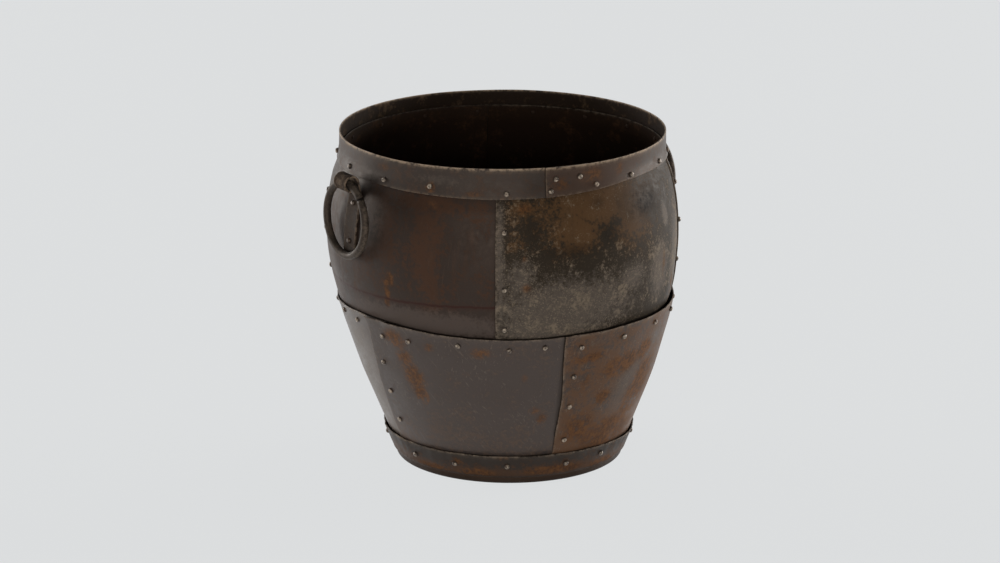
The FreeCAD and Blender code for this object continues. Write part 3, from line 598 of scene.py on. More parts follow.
# Lower course
LOWER_LEAN = (KNEE_RADIUS - BOTTOM_RADIUS) / (KNEE_HEIGHT - LOWER_LOW)
LOWER_SLANT = hypot(1, LOWER_LEAN)
LOWER_STEP = (SHEET + GAP) * LOWER_SLANT
WAIST_PLAY = (UPPER_STEP + LOWER_STEP) / 2 + GAP + SHEET * LOWER_SLANT
WAIST_RADIUS = float(belly(WAIST)) + WAIST_PLAY + WAIST_SLACK
DRIFT_SLOPE = (BASE_DRIFT - WAIST_SLACK) / (WAIST - LOWER_LOW)
TUCK_BULGE = BELLY_ARC - sqrt(BELLY_ARC ** 2 - (WAIST - UPPER_LOW) ** 2 / 4)
LAP_DRIFT = DRIFT_SLOPE * (WAIST - UPPER_LOW)
LAP_RADIUS = float(belly(UPPER_LOW)) + WAIST_PLAY + TUCK_BULGE + WAIST_SLACK + LAP_DRIFT
FLANK_HEIGHT = (UPPER_LOW + KNEE_HEIGHT) / 2
FLANK_RADIUS = (LAP_RADIUS + KNEE_RADIUS) / 2 + FLANK_SWELL
LOWER_TURN = degrees(LOWER_LAP / WAIST_RADIUS)
LOWER_PROFILE = Profile([(BOTTOM_RADIUS, LOWER_LOW), (KNEE_RADIUS, KNEE_HEIGHT),
                         (FLANK_RADIUS, FLANK_HEIGHT), (LAP_RADIUS, UPPER_LOW), (WAIST_RADIUS, WAIST)], 9)
# The front right seam was cut with a slight bow
SEAM_BOW = {"right": (1.2, 118, 45)}


def drift(height):
    below = WAIST - np.asarray(height, float)
    return radial(DRIFT_BEARING) * (WAIST_SLACK + DRIFT_SLOPE * below)[..., None]


def lower_panel(i, material):
    name = LOWER_NAMES[i]
    left_top, right_top = LOWER_SEAMS_TOP[i], following(LOWER_SEAMS_TOP, i)
    left_foot, right_foot = LOWER_SEAMS_FOOT[i], following(LOWER_SEAMS_FOOT, i)
    length = radians(right_top - left_top + LOWER_TURN) * WAIST_RADIUS
    tall = LOWER_PROFILE.length
    bow, bow_height, bow_reach = SEAM_BOW.get(name, (0, 0, 1))

    def spread(u, v):
        """Bearings of the sheet's left edge, its right seam and the point itself, with radius and height."""
        radius, height = LOWER_PROFILE.at(v)
        down = (WAIST - height) / (WAIST - LOWER_LOW)
        left = left_top + (left_foot - left_top) * down
        right = right_top + (right_foot - right_top) * down
        ragged = np.degrees(uneven(v, LOWER_SIDE, i) / radius)
        start = left + ragged + bow * bump(height, bow_height, bow_reach)
        bearing = start + (right + LOWER_TURN - start) * u / length
        return left, right, bearing, radius, height

    def place(u, v):
        edge_wave = uneven(u, WAIST_EDGE, i) + cut_above(WAIST_CUT, left_top + np.degrees(u / WAIST_RADIUS))
        v = v + edge_wave * ramp(v, tall - 25, tall)
        left, right, bearing, radius, height = spread(u, v)
        half_lap = LOWER_TURN / 2
        middle = axis_shift(left + half_lap, right + half_lap) * LOWER_STEP + drift(height)
        spot = middle + round_pot(bearing, radius, height)
        above = np.clip((height - WAIST_ROW) / (WAIST - WAIST_ROW), 0, 1.3)
        most = WAIST_GAPE + SEAM_GAPE * bump(bearing, SEAM_GAPE_BEARING, GAPE_REACH)
        stand = gape(bearing, WAIST_BEARINGS, 0.04, most, WAIST_RADIUS) * above ** 1.5
        stand = stand - PRESSED * bump(bearing, PRESSED_BEARING, GAPE_REACH) * above
        seam = 0.9 * ramp(-u, -16, 0) * ramp(height, FLANGE_TOP, FLANGE_TOP + 25)
        seam = seam * (0.55 + 0.45 * along(v, 30, 55 + i))
        return pushed(spot, bearing, dents(spot) + stand + seam)

    def paint(u, v, face, cut):
        right, bearing, radius, height = spread(u, v)[1:]
        covered = np.radians(right - bearing) * radius
        above_flange = height - FLANGE_TOP - cut_above(FLANGE_CUT, bearing)
        # Painted shade on the lower sheet under the flange and just above its edge, and in front of the
        # covering seam above about 60 mm.
        flange_shade = 0.9 * ramp(-above_flange, -1.1, 0.1)
        return {
            "wear": fade(np.minimum(u, tall - v), 1.6) * patchy(face, 7, 61),
            "grime": np.maximum(lap_shade(covered, 1.1) * ramp(height, 60, 75), flange_shade),
            "cloud": ramp(-height, -150, -40) * 0.5,
            **painted(LOWER_SPOTS[name], bearing, height, radius),
        }

    us = lines(length, seam_line(length, LOWER_TURN, WAIST_RADIUS))
    base = LOWER_PROFILE.length_at(FLANGE_TOP)
    vs = lines(tall, [base + d for d in (-1.5, 0, 0.8, 1.6, 2.6)])
    plate(f"tapered_sheet_{name}", f"lower_panel_{name}", material,
          place, us, vs, from_edges(length, tall), paint)


# Rim band
def rim_band(material):
    turn = 360 + degrees(RIM_LAP / RIM_RADIUS)
    length = radians(turn) * RIM_RADIUS
    girth = radians(360) * RIM_RADIUS
    profile = Profile([(RIM_RADIUS + RIM_FLARE, RIM_LOW), (RIM_RADIUS, RIM_BEND), (RIM_RADIUS, RIM_TOP)], 5)
    tall = profile.length

    def place(u, v):
        ragged = uneven(v, RIM_SIDE)
        angle = np.degrees((u + ragged * (1 - u / length)) / RIM_RADIUS)
        swing = RIM_STEP / 2 * (1 + np.cos(np.radians(np.minimum(angle, 360))))
        bearing = RIM_LAP_BEARING + angle
        wave = uneven(u, RIM_EDGE) * ramp(v, 8, tall) + cut_above(RIM_CUT, bearing) * ramp(-v, -18, 0)
        radius, height = profile.at(v + wave)
        spot = round_pot(bearing, radius + np.where(angle < 180, swing, -swing), height)
        lift = 0.5 * ramp(-u, -12, 0)
        return pushed(spot, bearing, dents(spot) * ramp(-height, -RIM_TOP, -RIM_BEND) + lift)

    def paint(u, v, face, cut):
        bearing = RIM_LAP_BEARING + np.degrees(u / RIM_RADIUS)
        sides = 0.4 * fade(np.minimum(u, v), 1.2) * patchy(face, 7, 62)
        return {
            "wear": np.maximum(2 * fade(tall - v, 1.2), sides),
            # Painted shade on the band just in front of the edge of its lapping end.
            "grime": lap_shade(girth - u, 1.1, 0),
            "cloud": 1.2 * bump(bearing, 33, 16),
            **painted(RIM_SPOTS, bearing, profile.at(v)[1], RIM_RADIUS),
        }

    us = lines(length, [girth + d for d in (-3, -1.5, -0.7, 0)])
    plate("rim_strip", "rim_band", material,
          place, us, lines(tall), from_edges(length, tall), paint)


# Base pan
def base_pan(material):
    play = LOWER_STEP / 2 + GAP + DRIFT_SLOPE * (FLANGE_TOP - LOWER_LOW)

    def flange(height):
        return BOTTOM_RADIUS + (height - LOWER_LOW) * LOWER_LEAN + play + SHEET * LOWER_SLANT

    arc = [(FOOT_RADIUS - FOOT_ROUND * (1 - sin(a)), FOOT_ROUND * (1 - cos(a)))
           for a in np.radians(range(0, 91, 15))]
    profile = Profile([(0.01, 0)] + arc + [(FOOT_RADIUS, FOOT_HEIGHT), (flange(CREASE), CREASE),
                                           (flange(FLANGE_TOP), FLANGE_TOP)], 2)
    tall = profile.length
    middle = np.array([*PAN_MIDDLE, 0])

    def place(u, v):
        edge_wave = uneven(np.abs(u - 180) * 3, FLANGE_EDGE) + cut_above(FLANGE_CUT, u)
        radius, height = profile.at(v + edge_wave * ramp(v, tall - 16, tall))
        up = np.clip((height - CREASE) / (FLANGE_TOP - CREASE), 0, 1.1)
        girth = radial(u) * WRINKLE_RADIUS
        wrinkle = 0.9 * (0.5 + 0.5 * lattice(girth, 26, 122)) + 0.45 * lattice(girth, 10, 123)
        above = np.clip((height - BASE_ROW) / (FLANGE_TOP - BASE_ROW), 0, 1.3)
        stand = (gape(u, BASE_BEARINGS, 0.03, 1.2, FOOT_RADIUS) - 0.8) * above ** 1.4
        out = stand + wrinkle * up * ramp(height, CREASE, CREASE + 12)
        spot = middle + round_pot(u, radius, height)
        return pushed(spot, u, out + dents(spot) * ramp(height, FOOT_HEIGHT, FLANGE_TOP))

    def paint(u, v, face, cut):
        radius, height = profile.at(v)
        # Painted shade in the crease at the foot of the flange, and the foot darker towards its bottom as
        # painted shade.
        crease = bump(height, CREASE, 1.6) * ramp(radius, FOOT_RADIUS - 3, FOOT_RADIUS)
        return {
            "wear": fade(tall - v, 1.4) * patchy(face, 6, 63),
            "grime": np.maximum(crease, 0.8 * ramp(-height, -15, -2)),
            "cloud": ramp(-height, -34, -12),
            **painted(PAN_SPOTS, u, height, FOOT_RADIUS),
        }

    disc = np.linspace(0, FOOT_RADIUS - FOOT_ROUND - 4, 24)
    start = tall - (FLANGE_TOP - CREASE) * LOWER_SLANT
    foot = np.linspace(disc[-1] + 2, start - 0.5, 14)
    rise = start + lines(tall - start)
    vs = np.concatenate([disc, foot, rise])
    us = np.linspace(0, 360, 300, endpoint=False)
    plate("beaten_pan", "base_pan", material,
          place, us, vs, lambda u, v: tall - v, paint, closed=True)


# Handle straps and rings
def strap_path():
    """Middle line of a strap, as distance out and height, from its foot up and round the eye."""
    share = sin(radians(45 - (HANDLE_BEARINGS["left"] - UPPER_SEAMS[0]) + UPPER_TURN / 2))
    back = BELLY_ARC + GAP + UPPER_STEP * share / (2 * sin(radians(45)))
    half = STRAP_BAR / 2
    bend_out = BELLY_CENTRE + sqrt(back ** 2 - (STRAP_BEND - BELLY_HEIGHT) ** 2)
    to_eye = np.array([EYE_RADIUS - bend_out, EYE_HEIGHT - STRAP_BEND])
    run = sqrt(to_eye @ to_eye - EYE_OUTER ** 2)
    turn = np.array([[run, -EYE_OUTER], [EYE_OUTER, run]]) / (to_eye @ to_eye)
    neck = turn @ to_eye
    heights = np.linspace(STRAP_LOW, STRAP_BEND - 3, 30)
    path = [(BELLY_CENTRE + sqrt((back + half) ** 2 - (h - BELLY_HEIGHT) ** 2), h) for h in heights]
    first = atan2(neck[0], -neck[1])
    for step in range(61):
        angle = first - radians(EYE_WRAP) * step / 60
        reach = EYE_OUTER - half
        path.append((EYE_RADIUS + reach * cos(angle), EYE_HEIGHT + reach * sin(angle)))
    return path


def handle_strap(side, material):
    profile = Profile(strap_path(), 2)
    out = radial(HANDLE_BEARINGS[side])
    across = np.array([-out[1], out[0], 0])
    tall = profile.length

    def place(u, v):
        radius, height = profile.at(v)
        ragged = uneven(v, STRAP_SIDE) * (2 * u / STRAP_WIDTH - 1)
        middle = out * radius[..., None] + upright(height)
        spot = middle + across * (u - STRAP_WIDTH / 2 + ragged)[..., None]
        rise = np.stack(np.subtract(profile.at(v + 0.2), profile.at(v - 0.2)), -1)
        rise /= np.maximum(np.linalg.norm(rise, axis=-1, keepdims=True), 1e-9)
        normal = out * rise[..., 1:] - np.array([0, 0, 1.0]) * rise[..., :1]
        return spot + normal * STRAP_BAR / 2

    def paint(u, v, face, cut):
        noise = patchy(face, 6, 64)
        return {
            # The edges are worn; the whole rolled eye, past about 88 mm along the strap, is lighter as
            # painted light.
            "wear": (fade(cut, 1.2) + ramp(v, 88, 98)) * noise,
            "rust": 0.2 * ramp(v, 95, 115) * noise,
            "cloud": 0.5,
        }

    vs = np.unique(np.concatenate([lines(tall, pitch=2.5), np.linspace(80, tall - 1.3, 60)]).round(3))
    us = lines(STRAP_WIDTH, pitch=3)
    plate(f"rolled_strap_{side}", f"handle_strap_{side}", material,
          place, us, vs, from_edges(STRAP_WIDTH, tall), paint, STRAP_BAR)


def ring_handle(side, material):
    """Ring of round bar with an open butt joint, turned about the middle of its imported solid."""
    low, high = (np.array(corner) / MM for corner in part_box(f"ring_handle_{side}"))
    out = radial(HANDLE_BEARINGS[side])
    joint = next(j for j in frame["joints"] if j["child"] == f"{side}_ring")
    hinge = np.array(joint["pos_m"]) / MM
    lean = asin(((low + high) / 2 - hinge) @ out / RING_RADIUS)
    down = out * sin(lean) - np.array([0, 0, cos(lean)])
    through = out * cos(lean) + np.array([0, 0, sin(lean)])
    aside = np.cross(through, down)
    centre = hinge + down * RING_RADIUS
    left_hand = np.array([-out[1], out[0], 0]) @ aside
    split = radians(RING_SPLIT_FROM_TOP) * (1 if left_hand > 0 else -1)
    open_half = RING_SPLIT / RING_RADIUS / 2
    sides, steps = 24, 150
    points, marks = [], {"wear": [], "grime": [], "cloud": []}
    turns = np.linspace(split + open_half, split + 2 * pi - open_half, steps)
    for k, angle in enumerate(turns):
        spoke = -down * cos(angle) + aside * sin(angle)
        end = min(k, steps - 1 - k)
        worn = 1 - 0.12 * max(0, 1 - end / 2)
        for s in range(sides):
            roll = 2 * pi * s / sides
            normal = spoke * cos(roll) + through * sin(roll)
            base = centre + spoke * RING_RADIUS
            rough = 0.10 * float(lattice(base + normal * 9, 16, 140)) - 0.05
            points.append(base + normal * (RING_BAR / 2 * worn + rough))
            marks["wear"].append(0.12 + 0.3 * max(0, cos(roll)) ** 4)
            # Painted shade on the two butt ends, in the gap of the split.
            marks["grime"].append(1 if end == 0 else 0)
            marks["cloud"].append(0.2)
    piece = new_piece(f"forged_ring_{side}", points, tube(steps, sides, 0, True), marks)
    dress(piece, f"ring_handle_{side}", f"{side}_ring", material)


# Rivets
HEAD = ((3.45, -0.6), (3.5, 0.5), (3.35, 1.4), (2.8, 2.3), (2.0, 2.9), (1.2, 3.1), (0.5, 2.95))
TAIL = ((2.7, 0.7), (2.7, -0.5), (2.2, -1.1), (1.2, -1.4))
HEAD_SIDES, HEAD_WOBBLE = 16, 0.09
TAIL_SIDES, TAIL_WOBBLE = 10, 0.1
RIVET_RISE = 3.35
TAIL_RISE = 1.4


def lump(rings, origin, axis, seed, sides, wobble):
    """Hammered lump: rings of (radius, height) along an axis, uneven all round."""
    across = axis.orthogonal().normalized()
    beside = axis.cross(across)
    points = []
    for radius, height in rings:
        for s in range(sides):
            angle = 2 * pi * s / sides
            probe = np.array([radius * cos(angle) + 31.7 * seed, radius * sin(angle), height])
            rough = 1 + wobble * float(lattice(probe, 2.6, 150))
            tip = height + 0.35 * wobble / 0.1 * float(lattice(probe, 3.4, 151)) * max(0, height) / 3
            spot = (across * cos(angle) + beside * sin(angle)) * radius * rough
            points.append(origin + spot + axis * tip)
    return points


def rivet_row(node, material):
    points, faces = [], []
    marks = {"wear": [], "grime": [], "rust": [], "cloud": [], "inside": []}
    for k, rivet in enumerate(RIVETS[node]):
        seed = k + 17 * RIVET_ROWS.index(node)
        shift = float(dents(np.array(rivet.crown - rivet.axis * RIVET_RISE)))
        out = Vector((rivet.crown.x, rivet.crown.y, 0)).normalized()
        if node.startswith("rim"):
            shift *= float(ramp(-rivet.crown.z, -RIM_TOP, -RIM_BEND))
        head_foot = rivet.crown - rivet.axis * RIVET_RISE + out * shift
        tail_foot = rivet.crown - rivet.axis * (rivet.length - TAIL_RISE) + out * shift
        lumps = ((HEAD, head_foot, HEAD_SIDES, HEAD_WOBBLE, 0), (TAIL, tail_foot, TAIL_SIDES, TAIL_WOBBLE, 1))
        for rings, foot, sides, wobble, inside in lumps:
            faces += tube(len(rings), sides, len(points), bool(inside))
            points += lump(rings, foot, rivet.axis, seed + 0.5 * inside, sides, wobble)
            for radius, height in rings:
                for s in range(sides):
                    # The crown of each head is lighter as worn metal and a painted highlight.
                    bright = float(ramp(abs(height), 1.2, 2.3))
                    bright *= 0.75 + 0.35 * sin(seed * 2.4 + s * 0.8)
                    marks["wear"].append(0 if inside else bright * (0.08 if "strap" in node else 1))
                    # Painted shade at the foot of each head, over most of each tail, and in the dimple on the
                    # crown.
                    marks["grime"].append(0.9 if height < 0.3 else 0.75 if radius < 0.6 else 0)
                    marks["rust"].append(0.25 * (seed % 3 == 0))
                    marks["cloud"].append(0.3)
                    marks["inside"].append(inside)
    piece = new_piece(f"hammered_{node}", [tuple(p) for p in points], faces, marks)
    dress(piece, node, "pot", material)


# Materials
class Nodes:
    """Adds nodes to a shader tree."""

    def __init__(self, tree, place=None):
        self.tree = tree
        if place:
            self.place = self.new("ShaderNodeTexCoord").outputs[place]

    def new(self, kind):
        return self.tree.nodes.new(kind)

    def fill(self, node, values):
        """Sets or links the inputs of a node, by name or number, and gives its outputs."""
        for name, value in values.items():
            if isinstance(value, bpy.types.NodeSocket):
                self.tree.links.new(value, node.inputs[name])
            elif isinstance(value, tuple):
                node.inputs[name].default_value = (*value[:3], 1)
            else:
                node.inputs[name].default_value = value
        return node.outputs

    def sum(self, operation, *terms):
        node = self.new("ShaderNodeMath")
        node.operation = operation
        return self.fill(node, dict(enumerate(terms)))["Value"]

    def times(self, one, two):
        return self.sum("MULTIPLY", one, two)

    def blend(self, first, *others):
        """Sum of values with their weights."""
        total = self.times(*first)
        for value, weight in others:
            total = self.sum("MULTIPLY_ADD", value, weight, total)
        return total

    def band(self, value, low, high, to_low=0, to_high=1):
        node = self.new("ShaderNodeMapRange")
        node.interpolation_type = "SMOOTHSTEP"
        return self.fill(node, dict(enumerate((value, low, high, to_low, to_high))))["Result"]

    def level(self, direction):
        """Distance along a direction."""
        node = self.new("ShaderNodeVectorMath")
        node.operation = "DOT_PRODUCT"
        return self.fill(node, {0: self.place, 1: direction})["Value"]

    def seen_by(self, *rays):
        """1 for what the named kinds of rays see."""
        path = self.new("ShaderNodeLightPath")
        seen = path.outputs[f"Is {rays[0]} Ray"]
        for ray in rays[1:]:
            seen = self.sum("MAXIMUM", seen, path.outputs[f"Is {ray} Ray"])
        return seen


class Finish(Nodes):
    """Procedural material of tones that are laid over each other."""

    def __init__(self, name, tone):
        self.material = bpy.data.materials.new(name)
        self.material.use_nodes = True
        self.tone = tone
        super().__init__(self.material.node_tree, "Object")

    def noise(self, pitch, detail, rough, seed, stretch=None, turn=0):
        """Noise whose largest blotches are about pitch millimetres apart."""
        place = self.place
        if turn:
            lean = self.new("ShaderNodeVectorRotate")
            lean.rotation_type = "AXIS_ANGLE"
            place = self.fill(lean, {"Axis": radial(0), "Angle": radians(turn), "Vector": place})["Vector"]
        if stretch:
            scale = self.new("ShaderNodeMapping")
            place = self.fill(scale, {"Scale": Vector(stretch), "Vector": place})["Vector"]
        node = self.new("ShaderNodeTexNoise")
        node.noise_dimensions = "4D"
        values = {"W": seed, "Scale": 1 / (pitch * MM), "Detail": detail, "Roughness": rough, "Vector": place}
        return self.fill(node, values)["Fac"]

    def mark(self, name):
        node = self.new("ShaderNodeAttribute")
        node.attribute_name = name
        return node.outputs["Fac"]

    def mix(self, share, one, two):
        node = self.new("ShaderNodeMix")
        node.data_type = "RGBA"
        return self.fill(node, {"Factor": share, 6: one, 7: two})[2]

    def cover(self, share, tone):
        """Lays a tone over those before it."""
        self.tone = self.mix(share, self.tone, tone)


def scratches(f, seed, turn):
    """Thin lines scattered over a sheet, drawn along one direction of it."""
    fine = f.noise(2.2, 2, 0.5, seed, (1, 1, 0.035), turn)
    where = f.noise(40, 3, 0.6, seed + 1)
    return f.times(f.band(fine, 0.61, 0.67), f.band(where, 0.46, 0.58))


RUST_TONES = (0.066, 0.032, 0.017), (0.175, 0.078, 0.031)
CREASE_TONES = (0.022, 0.007, 0.006), (0.045, 0.016, 0.012)
SHADE_AND_STAIN_TONE = (0.006, 0.0045, 0.0035)
SHEEN_TINT = (1, 0.78, 0.65, 1)
CREASE_RISE = np.array([0, 0, 1]) - 0.03 * radial(90)
CREASE_LEVEL = 0.2595
BUMP_STRENGTH = 0.35
BUMP_HEIGHT = 0.6 * MM


def iron(name, seed, dark, brown, pale, brown_share, pale_share, specks, roughness, sheen,
         streaks=0.0, scored=0.0, chalk=(0.085, 0.070, 0.060), worn_and_highlight_tone=(0.25, 0.20, 0.155),
         creased=False, inside=(0.026, 0.0150, 0.0100), inside_rust=(0.075, 0.038, 0.020)):
    """Old iron: dark scale, brown patina, pale blotches and specks, rust, worn edges and stains, with painted
    shade in the laps, creases and recesses, painted shadows and painted highlights.
    """
    f = Finish(name, dark)
    cloud = f.noise(110, 5, 0.62, seed)
    mottle = f.noise(26, 7, 0.66, seed + 1)
    grain = f.noise(5.5, 6, 0.70, seed + 2)
    speck = f.noise(1.9, 3, 0.6, seed + 3)
    drawn = f.noise(13, 5, 0.6, seed + 4, (1, 1, 0.14))
    broad = f.blend((mottle, 0.40), (cloud, 0.26), (grain, 0.74), (f.mark("cloud"), 0.20))
    f.cover(f.band(broad, 0.83 - brown_share, 0.97 - brown_share), brown)
    f.cover(f.times(f.band(drawn, 0.50, 0.66), streaks), brown)
    # Pale chalky blotches, among them painted highlights laid as chalk patches.
    pallor = f.blend((f.mark("chalk"), 0.50), (mottle, 0.44), (grain, 0.76))
    f.cover(f.times(f.band(pallor, 0.74, 1.02), 0.85), chalk)
    fine = f.blend((grain, 0.55), (mottle, 0.45), (f.mark("chalk"), 0.05))
    f.cover(f.times(f.band(fine, 0.65 - pale_share, 0.76 - pale_share), 0.7), pale)
    crowd = f.band(f.blend((mottle, 0.5), (cloud, 0.3), (f.mark("chalk"), 0.25)), 0.36, 0.60)
    f.cover(f.times(f.times(f.band(speck, 0.54, 0.68), crowd), specks), pale)
    f.cover(f.times(f.band(drawn, 0.56, 0.75), 0.2), dark)
    if scored:
        for k, turn in enumerate((8, -38)):
            f.cover(f.times(scratches(f, seed + 6 + 2 * k, turn), scored), pale)
    ragged = f.blend((grain, 0.5), (mottle, 0.5))
    rusty = f.band(f.times(f.mark("rust"), f.band(ragged, 0.30, 0.54)), 0.06, 0.62)
    rust_tone = f.mix(f.band(grain, 0.40, 0.62), *RUST_TONES)
    f.cover(f.times(rusty, 0.85), rust_tone)
    # Painted shade along a fold line across the front left sheet: a dark line on it and a softer shaded band
    # about 7 mm to either side.
    if creased:
        height = f.blend((f.level(CREASE_RISE), 1.0), (mottle, 0.006), (grain, 0.003))
        apart = f.sum("ABSOLUTE", f.sum("SUBTRACT", height, CREASE_LEVEL))
        f.cover(f.band(apart, 0.0006, 0.0020, 0.9, 0), CREASE_TONES[0])
        shaded = f.band(f.sum("SUBTRACT", height, CREASE_LEVEL), 0, 0.007, 0.35, 0)
        f.cover(f.times(shaded, f.band(apart, 0, 0.007, 1, 0)), CREASE_TONES[1])
    # Wear, with painted highlights on the rivet crowns and the strap eyes, in one light tone.
    worn = f.times(f.mark("wear"), f.band(grain, 0.38, 0.58))
    f.cover(worn, worn_and_highlight_tone)
    # Painted shade in the laps, creases and recesses, and stains mixed with painted shadows and painted
    # shade, laid in one near-black tone.
    spots_and_shadows = f.times(f.mark("stain"), f.band(ragged, 0.30, 0.60))
    f.cover(f.sum("MAXIMUM", f.mark("grime"), spots_and_shadows), SHADE_AND_STAIN_TONE)
    hidden = f.mark("inside")
    within = f.mix(f.band(f.blend((mottle, 0.6), (grain, 0.4)), 0.50, 0.66), inside, inside_rust)
    bare = f.sum("SUBTRACT", 1, f.times(f.mark("wear"), 0.6))
    f.cover(f.times(hidden, bare), within)
    rough = f.band(ragged, 0.35, 0.65, roughness - 0.10, roughness + 0.12)
    pits = f.blend((speck, 0.35), (grain, 0.65))
    relief = {"Strength": BUMP_STRENGTH, "Distance": BUMP_HEIGHT, "Height": pits}
    f.fill(f.tree.nodes["Principled BSDF"], {
        "Base Color": f.tone,
        "Roughness": f.blend((rusty, 0.2), (hidden, 0.25), (rough, 1.0)),
        "Metallic": 0,
        "Specular IOR Level": sheen,
        "Specular Tint": SHEEN_TINT,
        "Normal": f.fill(f.new("ShaderNodeBump"), relief)["Normal"],
    })
    return f.material


SMOOTH = dict(dark=(0.036, 0.026, 0.022), brown=(0.062, 0.031, 0.019), pale=(0.100, 0.070, 0.048),
              brown_share=0.12, pale_share=0.01, specks=0.25, roughness=0.50, sheen=0.2, streaks=0.45,
              chalk=(0.092, 0.073, 0.065), scored=0.15)
MOTTLED = dict(dark=(0.032, 0.025, 0.018), brown=(0.104, 0.057, 0.027), pale=(0.270, 0.215, 0.155),
               brown_share=0.10, pale_share=0.11, specks=0.85, roughness=0.56, sheen=0.1,
               chalk=(0.126, 0.106, 0.090))
GREY = dict(dark=(0.056, 0.046, 0.043), brown=(0.088, 0.062, 0.049), pale=(0.170, 0.140, 0.115),
            brown_share=0.10, pale_share=0.02, specks=0.3, roughness=0.46, sheen=0.4, scored=0.35)
RUSTY = dict(dark=(0.056, 0.042, 0.035), brown=(0.112, 0.060, 0.034), pale=(0.200, 0.155, 0.120),
             brown_share=0.22, pale_share=0.06, specks=0.45, roughness=0.54, sheen=0.3, scored=0.4,
             streaks=0.4)
PALE = dict(dark=(0.062, 0.052, 0.047), brown=(0.090, 0.068, 0.056), pale=(0.230, 0.195, 0.165),
            brown_share=0.10, pale_share=0.08, specks=0.5, roughness=0.44, sheen=0.5,
            chalk=(0.13, 0.112, 0.10))
BAND = dict(dark=(0.044, 0.036, 0.032), brown=(0.064, 0.041, 0.031), pale=(0.120, 0.094, 0.074),
            brown_share=0.14, pale_share=0.05, specks=0.5, roughness=0.52, sheen=0.25,
            chalk=(0.078, 0.066, 0.058), worn_and_highlight_tone=(0.46, 0.35, 0.25),
            inside=(0.016, 0.0100, 0.007), inside_rust=(0.110, 0.072, 0.042))
PAN = dict(dark=(0.024, 0.019, 0.016), brown=(0.056, 0.030, 0.018), pale=(0.130, 0.098, 0.072),
           brown_share=0.12, pale_share=0.06, specks=0.45, roughness=0.54, sheen=0.22)
BAR = dict(dark=(0.028, 0.022, 0.0185), brown=(0.050, 0.036, 0.028), pale=(0.080, 0.062, 0.050),
           brown_share=0.12, pale_share=0.0, specks=0.06, roughness=0.56, sheen=0.07,
           worn_and_highlight_tone=(0.22, 0.165, 0.12))
RING = dict(dark=(0.030, 0.024, 0.020), brown=(0.044, 0.032, 0.025), pale=(0.085, 0.070, 0.058),
            brown_share=0.10, pale_share=0.0, specks=0.04, roughness=0.50, sheen=0.2)
LOW_INSIDE = dict(inside=(0.070, 0.042, 0.028), inside_rust=(0.190, 0.100, 0.050))
HEADS = dict(dark=(0.036, 0.029, 0.025), brown=(0.060, 0.043, 0.034), pale=(0.200, 0.165, 0.130),
             brown_share=0.12, pale_share=0.12, specks=0.3, roughness=0.36, sheen=0.5,
             worn_and_highlight_tone=(0.54, 0.46, 0.37))

for i, finish in enumerate((SMOOTH, MOTTLED, MOTTLED, SMOOTH)):
    upper_panel(i, iron(f"upper_iron_{UPPER_NAMES[i]}", 3 * i, creased=i == 0, **finish))
for i, finish in enumerate((GREY, RUSTY, GREY, PALE)):
    lower_panel(i, iron(f"lower_iron_{LOWER_NAMES[i]}", 20 + 3 * i, **finish, **LOW_INSIDE))
rim_band(iron("band_iron", 40, **BAND))
base_pan(iron("pan_iron", 44, **PAN, **LOW_INSIDE))
bar_iron = iron("bar_iron", 48, **BAR)
ring_iron = iron("ring_iron", 56, **RING)
for side in HANDLE_BEARINGS:
    handle_strap(side, bar_iron)
    ring_handle(side, ring_iron)
head_iron = iron("rivet_iron", 52, **HEADS)
for row in RIVET_ROWS:
    rivet_row(row, head_iron)


# Stage, light and camera
def pale_floor():
    """Round sheet of paper that glows for the camera and in reflections, and keeps part of the shadow."""
    bpy.ops.mesh.primitive_circle_add(vertices=96, radius=FLOOR_RADIUS, fill_type="NGON")
    floor = bpy.context.object
    floor.name = "studio_floor"
    material = bpy.data.materials.new("floor_paper")
    material.use_nodes = True
    material.node_tree.nodes.clear()
    f = Nodes(material.node_tree)
    paper = f.fill(f.new("ShaderNodeBsdfDiffuse"), {"Color": BACKDROP})
    strength = f.sum("MULTIPLY_ADD", f.seen_by("Glossy"), FLOOR_SHEEN, FLOOR_LEVEL)
    glow = f.fill(f.new("ShaderNodeEmission"), {"Color": BACKDROP, "Strength": strength})
    share = f.times(f.seen_by("Camera", "Glossy", "Transmission"), FLOOR_GLOW)
    surface = f.fill(f.new("ShaderNodeMixShader"), {"Fac": share, 1: paper["BSDF"], 2: glow["Emission"]})
    f.fill(f.new("ShaderNodeOutputMaterial"), {"Surface": surface["Shader"]})
    floor.data.materials.append(material)


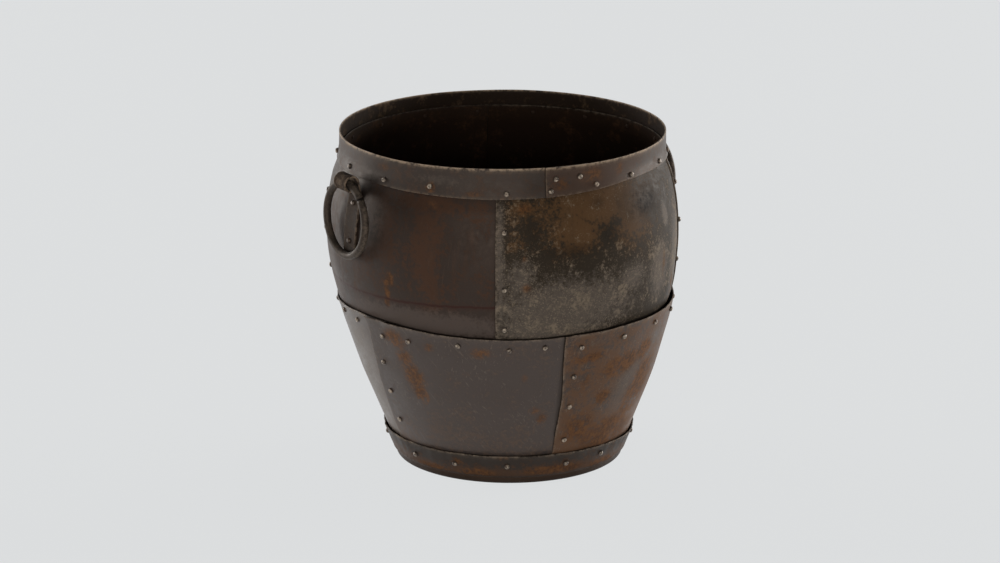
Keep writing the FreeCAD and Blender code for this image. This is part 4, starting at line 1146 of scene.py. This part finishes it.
def pale_world():
    """White paper behind and beside the pot, a dark room in front of it and above."""
    world = bpy.data.worlds.new("studio")
    scene.world = world
    world.use_nodes = True
    f = Nodes(world.node_tree, "Generated")
    high = f.fill(f.new("ShaderNodeSeparateXYZ"), {"Vector": f.place})["Z"]
    level = f.band(f.level(radial(180)), *PAPER_EDGE, ROOM_LEVEL, PAPER_LEVEL)
    dimmed = f.times(level, f.band(high, *ABOVE_EDGE, 1, ABOVE_SHARE))
    strength = f.sum("MAXIMUM", dimmed, f.seen_by("Camera"))
    f.fill(f.tree.nodes["Background"], {"Color": BACKDROP, "Strength": strength})


def softbox(name, bearing, elevation, distance, wide, high, power):
    """Large area lamp that faces the pot's middle."""
    lamp = bpy.data.lights.new(name, "AREA")
    lamp.shape = "RECTANGLE"
    lamp.size, lamp.size_y = wide, high
    lamp.energy = power
    lamp.color = LAMP_TINT
    lamp_object = bpy.data.objects.new(name, lamp)
    level = cos(radians(elevation))
    away = Vector((*(radial(bearing)[:2] * level), sin(radians(elevation))))
    lamp_object.location = away * distance + Vector((0, 0, TARGET_HEIGHT))
    lamp_object.rotation_euler = away.to_track_quat("Z", "Y").to_euler()
    scene.collection.objects.link(lamp_object)


def camera():
    lens = bpy.data.cameras.new("camera")
    lens.lens = CAMERA_LENS
    lens.sensor_width = 36
    lens.clip_end = 100
    eye = bpy.data.objects.new("camera", lens)
    turn, rise = radians(CAMERA_AZIMUTH), radians(CAMERA_ELEVATION)
    back = Vector((sin(turn) * cos(rise), -cos(turn) * cos(rise), sin(rise)))
    right = Vector((cos(turn), sin(turn), 0))
    eye.location = right * TARGET_ASIDE + Vector((0, 0, TARGET_HEIGHT)) + back * CAMERA_DISTANCE
    eye.rotation_euler = Matrix((right, back.cross(right), back)).transposed().to_euler()
    scene.collection.objects.link(eye)
    scene.camera = eye


LAMP_TINT = (1, 0.95, 0.89)
PAPER_EDGE = (-0.25, 0.55)
PAPER_LEVEL = 1.1
ROOM_LEVEL = 0.10
ABOVE_EDGE = (0.25, 0.8)
ABOVE_SHARE = 0.25
FLOOR_RADIUS = 14
FLOOR_GLOW = 0.88
FLOOR_LEVEL = 1.088
FLOOR_SHEEN = 0.385
pale_floor()
pale_world()
softbox("left_softbox", -118, 3, 4.8, 3.2, 1.8, 134)
softbox("right_softbox", 116, 3, 4.8, 3.2, 1.8, 192)
softbox("front_fill", -6, 6, 5.8, 4.8, 2.24, 160)
camera()
scene.view_settings.view_transform = "Standard"
